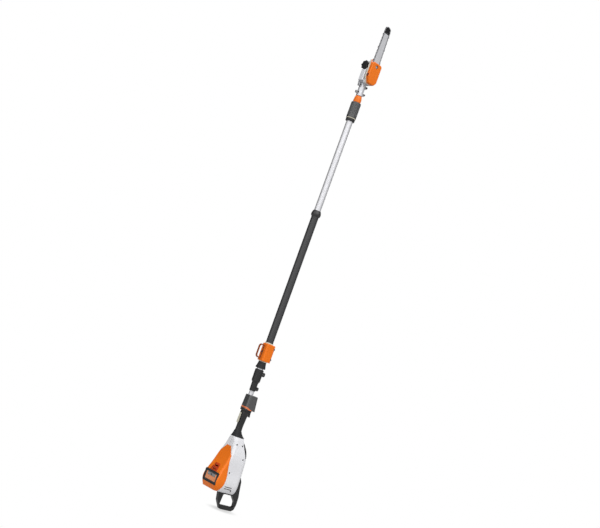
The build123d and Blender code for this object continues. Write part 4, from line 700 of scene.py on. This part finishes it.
def finishPiece(piece, body, finish):
    hold(piece)
    bpy.ops.object.mode_set(mode="EDIT")
    bpy.ops.mesh.select_all(action="SELECT")
    bpy.ops.mesh.remove_doubles(threshold=moves["merge"])
    bpy.ops.mesh.normals_make_consistent(inside=False)
    bpy.ops.object.mode_set(mode="OBJECT")
    bpy.ops.object.shade_smooth_by_angle(angle=math.radians(moves["smoothAngle"]))
    piece.data.materials.clear()
    piece.data.materials.append(finishes[finish])
    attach(piece, body)


def repeatPiece(first, name, shifts):  # one piece of moved copies; the first itself goes
    copies = []
    for shift in shifts:
        twin = bpy.data.objects.new(first.name, first.data.copy())
        bpy.context.scene.collection.objects.link(twin)
        twin.data.transform(Matrix.Translation(shift))
        copies.append(twin)
    bpy.data.objects.remove(first, do_unlink=True)
    hold(copies[0])
    for twin in copies:
        twin.select_set(True)
    bpy.ops.object.join()
    whole = bpy.context.object
    whole.name = whole.data.name = name
    return whole


def ringAt(name, low, high, inner, outer, ease):
    middle = (0.0, 0.0, (low + high) / 2)
    ring = roundAt(name, middle, outer, high - low, "Z", moves["ringSides"])
    easeEdges(ring, ease)
    long = 4 * (high - low)  # well past both ends of the ring
    cutOut(ring, roundAt(name + "Bore", middle, inner, long, "Z", moves["ringSides"]))
    return ring


# bore of the rubber on the pole
poleBore = 0.0181


def grooveLevels(z, radius, groove):  # one turned groove: its floor from, floor to, and its end
    floorFrom, floorTo, end = groove["heights"]
    floor = radius - groove["deep"]
    return [(z, radius), (z + floorFrom, floor), (z + floorTo, floor), (z + end, radius - groove["lip"])]


# handle sleeve with grooves at both ends, and above them its collar, given as rise and radius
sleeve = {"low": 0.4150, "top": 1.1200, "radius": 0.01985, "plain": 0.003, "firstGroove": 0.005,
          "step": 0.0040, "rows": 4,
          "groove": {"heights": (0.0003, 0.0012, 0.0015), "deep": 0.0006, "lip": 0.0},
          "collar": ((0.0002, 0.0212), (0.0040, 0.0238), (0.0085, 0.0256), (0.0130, 0.0261),
                     (0.0190, 0.0256), (0.0245, 0.0241), (0.0300, 0.0221), (0.0330, 0.0209),
                     (0.0340, 0.0204))}


def makeHandleSleeve():
    low, top, radius = sleeve["low"], sleeve["top"], sleeve["radius"]
    profile = [(low, radius), (low + sleeve["plain"], radius)]
    for first in (low + sleeve["firstGroove"], top - sleeve["step"] * sleeve["rows"]):
        for row in range(sleeve["rows"]):
            profile += grooveLevels(first + row * sleeve["step"], radius, sleeve["groove"])
    profile += [(top, radius)] + [(top + rise, wide) for rise, wide in sleeve["collar"]]
    piece = turnedPiece("handleSleeve", profile, poleBore)
    finishPiece(piece, "base", "hoseRubber")
    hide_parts("handle_hose")


# hand stop, a cone that narrows upwards, with its grooves spread over the cone
stop = {"low": 0.2790, "foot": 0.0256, "footRise": 0.0006, "rim": 0.0264, "rimRise": 0.0016,
        "rimTop": 0.2850, "top": 0.3140, "topRadius": 0.0202, "taper": 0.75,
        "rows": 4, "start": 0.6, "spare": 0.5,
        "groove": {"heights": (0.0004, 0.0016, 0.0020), "deep": 0.0007, "lip": 0.0002}}


def makeStopCone():
    low, foot, rim, rimTop = stop["low"], stop["foot"], stop["rim"], stop["rimTop"]
    profile = [(low, foot), (low + stop["footRise"], foot), (low + stop["rimRise"], rim), (rimTop, rim)]
    span = stop["top"] - rimTop
    for row in range(stop["rows"]):
        z = rimTop + span * (row + stop["start"]) / (stop["rows"] + stop["spare"])
        share = ((z - rimTop) / span) ** stop["taper"]
        profile += grooveLevels(z, rim + (stop["topRadius"] - rim) * share, stop["groove"])
    profile.append((stop["top"], stop["topRadius"]))
    piece = turnedPiece("stopCone", profile, poleBore)
    finishPiece(piece, "base", "soft_rubber")
    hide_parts("hand_stop")


# rubber boot between housing and grip, with a lip on the housing and two folds; its levels are given as
# height, middle in X, half width and half depth
boot = {"low": -0.0880, "lip": 0.0028, "centre": 0.0125, "halfX": 0.0330, "halfY": 0.0292, "ease": 0.0006,
        "corner": 0.0200, "cornerSteps": 10, "bore": 0.0129, "boreLong": 0.2, "boreSides": 64,
        "levels": ((-0.0842, 0.0120, 0.0300, 0.0262), (-0.0800, 0.0098, 0.0282, 0.0246),
                   (-0.0772, 0.0080, 0.0256, 0.0222), (-0.0760, 0.0078, 0.0258, 0.0224),
                   (-0.0728, 0.0062, 0.0236, 0.0206), (-0.0716, 0.0060, 0.0238, 0.0208),
                   (-0.0660, 0.0040, 0.0202, 0.0184), (-0.0580, 0.0025, 0.0185, 0.0170))}


def makeGripBoot():
    z, x, halfX, halfY = boot["low"] + boot["lip"], boot["centre"], boot["halfX"], boot["halfY"]
    piece = blockAt("gripBoot", (x - halfX, -halfY, boot["low"]), (x + halfX, halfY, z))
    roundEdges(piece, alongZ, boot["corner"], boot["cornerSteps"])
    pickTop(piece)
    for nextZ, nextX, nextHalfX, nextHalfY in boot["levels"]:
        riseTo((nextX - x, 0.0, nextZ - z), (nextHalfX / halfX, nextHalfY / halfY, 1.0), (nextX, 0.0, nextZ))
        z, x, halfX, halfY = nextZ, nextX, nextHalfX, nextHalfY
    bpy.ops.object.mode_set(mode="OBJECT")
    easeEdges(piece, boot["ease"])
    cutOut(piece, roundAt("bootBore", (0.0, 0.0, boot["low"]), boot["bore"], boot["boreLong"], "Z",
                          boot["boreSides"]))
    finishPiece(piece, "base", "soft_rubber")
    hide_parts("boot")


# dark skirt under the guard, deeper on the lock lever's side, with room for grip, lever and trigger
skirt = {"low": (-0.0186, -0.0274, 0.0490), "high": (0.0240, 0.0274, 0.0580), "toe": 0.0574,
         "corner": 0.0120, "cornerSteps": 8, "ease": 0.0015, "easeSteps": 3, "cutLow": 0.03, "cutHigh": 0.07,
         "cuts": {"gripCut": ((-0.0157, -0.0167), (0.0207, 0.0167)),
                  "leverCut": ((-0.04, -0.0079), (-0.0120, 0.0079)),
                  "triggerCut": ((0.017, -0.0069), (0.06, 0.0069))}}


def makeGuardSkirt():
    piece = blockAt("guardSkirt", skirt["low"], skirt["high"])
    midX = (skirt["low"][0] + skirt["high"][0]) / 2
    midZ = (skirt["low"][2] + skirt["high"][2]) / 2
    pickEdges(piece, lambda a, b: min(a.x, b.x) > midX and max(a.z, b.z) < midZ)
    bpy.ops.transform.translate(value=(0.0, 0.0, skirt["toe"] - skirt["low"][2]))
    bpy.ops.object.mode_set(mode="OBJECT")
    roundEdges(piece, lambda a, b: max(a.x, b.x) < midX and alongZ(a, b), skirt["corner"],
               skirt["cornerSteps"])
    belowToe = skirt["toe"] - moves["level"]
    roundEdges(piece, lambda a, b: max(a.z, b.z) < belowToe, skirt["ease"], skirt["easeSteps"])
    for name, (low, high) in skirt["cuts"].items():
        cutOut(piece, blockAt(name, (*low, skirt["cutLow"]), (*high, skirt["cutHigh"])))
    finishPiece(piece, "base", "black_plastic")


# frame round the latch pocket on the bay's sloping face, which is given as x and z of its top and low end;
# its dark rust colour is painted shade of the pocket
surround = {"faceTop": (-0.0420, -0.2320), "faceLow": (-0.0615, -0.2850), "low": -0.2825, "high": -0.2410,
            "half": 0.0300, "topShare": 0.68, "thick": 0.0018, "corner": 0.0050, "cornerSteps": 5,
            "ease": 0.0005, "holeLow": (-0.09, -0.0159, -0.2766), "holeHigh": (-0.03, 0.0159, -0.2514)}


def makeLatchSurround():
    run = surround["faceTop"][0] - surround["faceLow"][0]
    rise = surround["faceTop"][1] - surround["faceLow"][1]
    tilt = math.atan2(run, rise)
    midZ = (surround["low"] + surround["high"]) / 2
    midX = surround["faceTop"][0] - (surround["faceTop"][1] - midZ) * run / rise
    halfLong = (surround["high"] - surround["low"]) / math.cos(tilt) / 2
    halfThick = surround["thick"] / 2
    piece = blockAt("latchSurround", (midX - halfThick, -surround["half"], midZ - halfLong),
                    (midX + halfThick, surround["half"], midZ + halfLong), tilt)
    pickEdges(piece, lambda a, b: min(a.z, b.z) > midZ and alongY(a, b))
    bpy.ops.transform.resize(value=(1.0, surround["topShare"], 1.0), center_override=(midX, 0.0, midZ))
    bpy.ops.object.mode_set(mode="OBJECT")
    roundEdges(piece, lambda a, b: (a - b).length < surround["corner"], surround["corner"],
               surround["cornerSteps"])
    easeEdges(piece, surround["ease"])
    cutOut(piece, blockAt("pocketCut", surround["holeLow"], surround["holeHigh"]))
    # the frame's rust colour paints the latch pocket's shade
    finishPiece(piece, "base", "rust_plastic")


# finger ridges on the latch
ridges = {"x": (-0.0590, -0.0584), "half": 0.0110, "first": -0.2705, "step": 0.0025, "count": 4,
          "tall": 0.0013, "ease": 0.00035}


def makeLatchRidges():
    low, high = ridges["x"]
    first = blockAt("latchRidge", (low, -ridges["half"], ridges["first"] - ridges["tall"] / 2),
                    (high, ridges["half"], ridges["first"] + ridges["tall"] / 2))
    easeEdges(first, ridges["ease"])
    shifts = [(0.0, 0.0, row * ridges["step"]) for row in range(ridges["count"])]
    finishPiece(repeatPiece(first, "latchRidges", shifts), "latch", "rust_plastic")


# bare label plate on the battery's end, notched for the charge panel
plate = {"low": (-0.0626, -0.0445, -0.3325), "high": (-0.0615, 0.0445, -0.2955), "corner": 0.0045,
         "cornerSteps": 6, "ease": 0.0003, "notchX": (-0.08, -0.05), "notchTop": -0.28, "notchGap": 0.0004}


def makeLabelPlate():
    piece = blockAt("labelPlate", plate["low"], plate["high"])
    roundEdges(piece, alongX, plate["corner"], plate["cornerSteps"])
    easeEdges(piece, plate["ease"])
    (near, far), gap = plate["notchX"], plate["notchGap"]
    cutOut(piece, blockAt("panelNotch", (near, panel["low"][1] - gap, panel["low"][2] - gap),
                          (far, panel["high"][1] + gap, plate["notchTop"])))
    finishPiece(piece, "battery", "labelFilm")


# charge panel, with a hole for the button
panel = {"low": (-0.0629, -0.0340, -0.3106), "high": (-0.0615, 0.0340, -0.2956), "corner": 0.0030,
         "cornerSteps": 5, "ease": 0.0003, "button": (-0.0620, 0.0, -0.3040), "hole": 0.0046,
         "holeLong": 0.02, "holeSides": 40}


def makeChargePanel():
    piece = blockAt("chargePanel", panel["low"], panel["high"])
    roundEdges(piece, alongX, panel["corner"], panel["cornerSteps"])
    easeEdges(piece, panel["ease"])
    cutOut(piece, roundAt("buttonCut", panel["button"], panel["hole"], panel["holeLong"], "X",
                          panel["holeSides"]))
    finishPiece(piece, "battery", "panelFilm")


# lamps on the charge panel
lamps = {"x": (-0.0632, -0.0615), "y": (-0.0260, -0.0180, 0.0180, 0.0260), "z": -0.3040, "radius": 0.0015,
         "sides": 20, "ease": 0.0003}


def makeChargeLamps():
    face, back = lamps["x"]
    first = roundAt("chargeLamp", ((back + face) / 2, lamps["y"][0], lamps["z"]), lamps["radius"],
                    back - face, "X", lamps["sides"])
    easeEdges(first, lamps["ease"])
    shifts = [(0.0, y - lamps["y"][0], 0.0) for y in lamps["y"]]
    finishPiece(repeatPiece(first, "chargeLamps", shifts), "battery", "lampLens")


# pale rings on the pole: under the clamp's sleeve and at both ends of the harness bracket
poleRings = {
    "clampRing": {"low": 1.6816, "high": 1.6856, "inner": 0.0249, "outer": 0.0259, "ease": 0.0004},
    "bracketTopRing": {"low": 0.4110, "high": 0.4168, "inner": 0.0198, "outer": 0.0222, "ease": 0.0006},
    "bracketLowRing": {"low": 0.3142, "high": 0.3182, "inner": 0.0200, "outer": 0.0222, "ease": 0.0006},
}


def makePoleRings():
    for name, ring in poleRings.items():
        piece = ringAt(name, ring["low"], ring["high"], ring["inner"], ring["outer"], ring["ease"])
        finishPiece(piece, "base", "pale_plastic")


# grip ribs around the joint sleeve, open at its clamping ear
ribs = {"heights": (0.2460, 0.2530, 0.2600), "tall": 0.0026, "inner": 0.0226, "outer": 0.0237,
        "ease": 0.0005, "gapX": (0.0150, 0.04), "gapY": 0.03, "gapZ": 0.01}


def makeSleeveRibs():
    low = ribs["heights"][0]
    first = ringAt("sleeveRib", low, low + ribs["tall"], ribs["inner"], ribs["outer"], ribs["ease"])
    near, far = ribs["gapX"]
    cutOut(first, blockAt("ribGap", (near, -ribs["gapY"], low - ribs["gapZ"]),
                          (far, ribs["gapY"], low + ribs["gapZ"])))
    shifts = [(0.0, 0.0, height - low) for height in ribs["heights"]]
    finishPiece(repeatPiece(first, "sleeveRibs", shifts), "base", "black_plastic")


# two long air outlet slots low on both flanks of the housing, as raised bars that follow the wall where it
# rounds under: below wallZ it falls off by a straight and a square share of the depth
outlet = {"firstZ": -0.3375, "stepZ": 0.0100, "rows": 2, "middleX": 0.0150, "long": 0.0460,
          "tall": 0.0034, "deep": 0.0018, "proud": 0.0005, "end": 0.0015, "endSteps": 4,
          "wallY": 0.0665, "wallZ": -0.3360, "fall": 0.0786, "curve": 7.14}


def makeOutletSlots():
    x = outlet["middleX"]
    first = blockAt("outletSlot", (-outlet["long"] / 2, -outlet["proud"], -outlet["tall"] / 2),
                    (outlet["long"] / 2, outlet["deep"], outlet["tall"] / 2))
    roundEdges(first, alongY, outlet["end"], outlet["endSteps"])
    shifts = []
    for row in range(outlet["rows"]):
        z = outlet["firstZ"] - row * outlet["stepZ"]
        below = outlet["wallZ"] - z
        wallY = outlet["wallY"] - outlet["fall"] * below - outlet["curve"] * below ** 2
        shifts += [(x, -wallY, z), (x, wallY + outlet["proud"] - outlet["deep"], z)]
    finishPiece(repeatPiece(first, "outletSlots", shifts), "base", "grey_plastic")


# raised corner of the sprocket cover, on the oil cap's side of the bar, with its outer top edge rounded
crest = {"low": (-0.0343, -0.0460, 1.9800), "high": (-0.0300, -0.0318, 2.0130), "corner": 0.0035,
         "cornerSteps": 6, "ease": 0.0008}


def makeCoverCrest():
    piece = blockAt("coverCrest", crest["low"], crest["high"])
    midX = (crest["low"][0] + crest["high"][0]) / 2
    midZ = (crest["low"][2] + crest["high"][2]) / 2
    roundEdges(piece, lambda a, b: alongY(a, b) and a.z > midZ and a.x < midX, crest["corner"],
               crest["cornerSteps"])
    easeEdges(piece, crest["ease"])
    finishPiece(piece, "extension", "coverShell")


# dark rim of the port in the cover's narrow side
port = {"centre": (-0.0348, -0.0510, 1.9240), "radius": 0.0085, "thick": 0.0014, "ease": 0.0004,
        "hole": 0.0051, "holeLong": 0.02, "sides": 40}


def makePortRim():
    piece = roundAt("portRim", port["centre"], port["radius"], port["thick"], "X", port["sides"])
    easeEdges(piece, port["ease"])
    cutOut(piece, roundAt("portCut", port["centre"], port["hole"], port["holeLong"], "X", port["sides"]))
    finishPiece(piece, "extension", "portRim")


# rivets of the chain, one for each pitch of its path
chain = {"pitch": 0.009525, "links": 35, "barY": -0.043, "spindleZ": 1.929, "tipZ": 2.1959, "tipR": 0.018,
         "sprocketTeeth": 8, "firstRivet": 0.5, "rivetR": 0.0019, "rivetHalf": 0.0020, "rivetEase": 0.0003,
         "rivetSides": 10}


def chainPoint(dist):  # point of the chain's path in the bar's plane, as x and z
    spindleR = chain["pitch"] * chain["sprocketTeeth"] / math.pi
    span = chain["tipZ"] - chain["spindleZ"]
    lean = math.asin((spindleR - chain["tipR"]) / span)
    run = span * math.cos(lean)
    tipArc = chain["tipR"] * (math.pi - 2 * lean)
    if dist < run:
        return (spindleR * math.cos(lean) - dist * math.sin(lean),
                chain["spindleZ"] + spindleR * math.sin(lean) + dist * math.cos(lean))
    dist -= run
    if dist < tipArc:
        turn = lean + dist / chain["tipR"]
        return chain["tipR"] * math.cos(turn), chain["tipZ"] + chain["tipR"] * math.sin(turn)
    dist -= tipArc
    if dist < run:
        return (-chain["tipR"] * math.cos(lean) - dist * math.sin(lean),
                chain["tipZ"] + chain["tipR"] * math.sin(lean) - dist * math.cos(lean))
    turn = math.pi - lean + (dist - run) / spindleR
    return spindleR * math.cos(turn), chain["spindleZ"] + spindleR * math.sin(turn)


def makeChainRivets():
    first = roundAt("chainRivet", (0.0, chain["barY"], 0.0), chain["rivetR"], 2 * chain["rivetHalf"], "Y",
                    chain["rivetSides"])
    easeEdges(first, chain["rivetEase"], 1)
    shifts = []
    for step in range(2 * chain["links"]):
        x, z = chainPoint((step + chain["firstRivet"]) * chain["pitch"])
        shifts.append((x, 0.0, z))
    finishPiece(repeatPiece(first, "chainRivets", shifts), "bar", "steel")


# rivets of the bar's nose, placed from the centre of its tip
nose = {"radius": 0.0016, "half": 0.00218, "ease": 0.00012, "sides": 20,
        "places": ((0.0, -0.016), (-0.006, -0.026), (0.006, -0.026), (0.0, -0.035))}


def makeNoseRivets():
    first = roundAt("noseRivet", (0.0, chain["barY"], chain["tipZ"]), nose["radius"], 2 * nose["half"], "Y",
                    nose["sides"])
    easeEdges(first, nose["ease"], 1)
    shifts = [(x, 0.0, z) for x, z in nose["places"]]
    finishPiece(repeatPiece(first, "noseRivets", shifts), "bar", "steel")


makeHandleSleeve()
makeStopCone()
makeGripBoot()
print("rubber pieces made")
makeGuardSkirt()
makeLatchSurround()
makeLatchRidges()
makeLabelPlate()
makeChargePanel()
makeChargeLamps()
print("guard and battery pieces made")
makePoleRings()
makeSleeveRibs()
makeOutletSlots()
print("pole and housing trim made")
makeCoverCrest()
makePortRim()
makeChainRivets()
makeNoseRivets()
print("head pieces made")
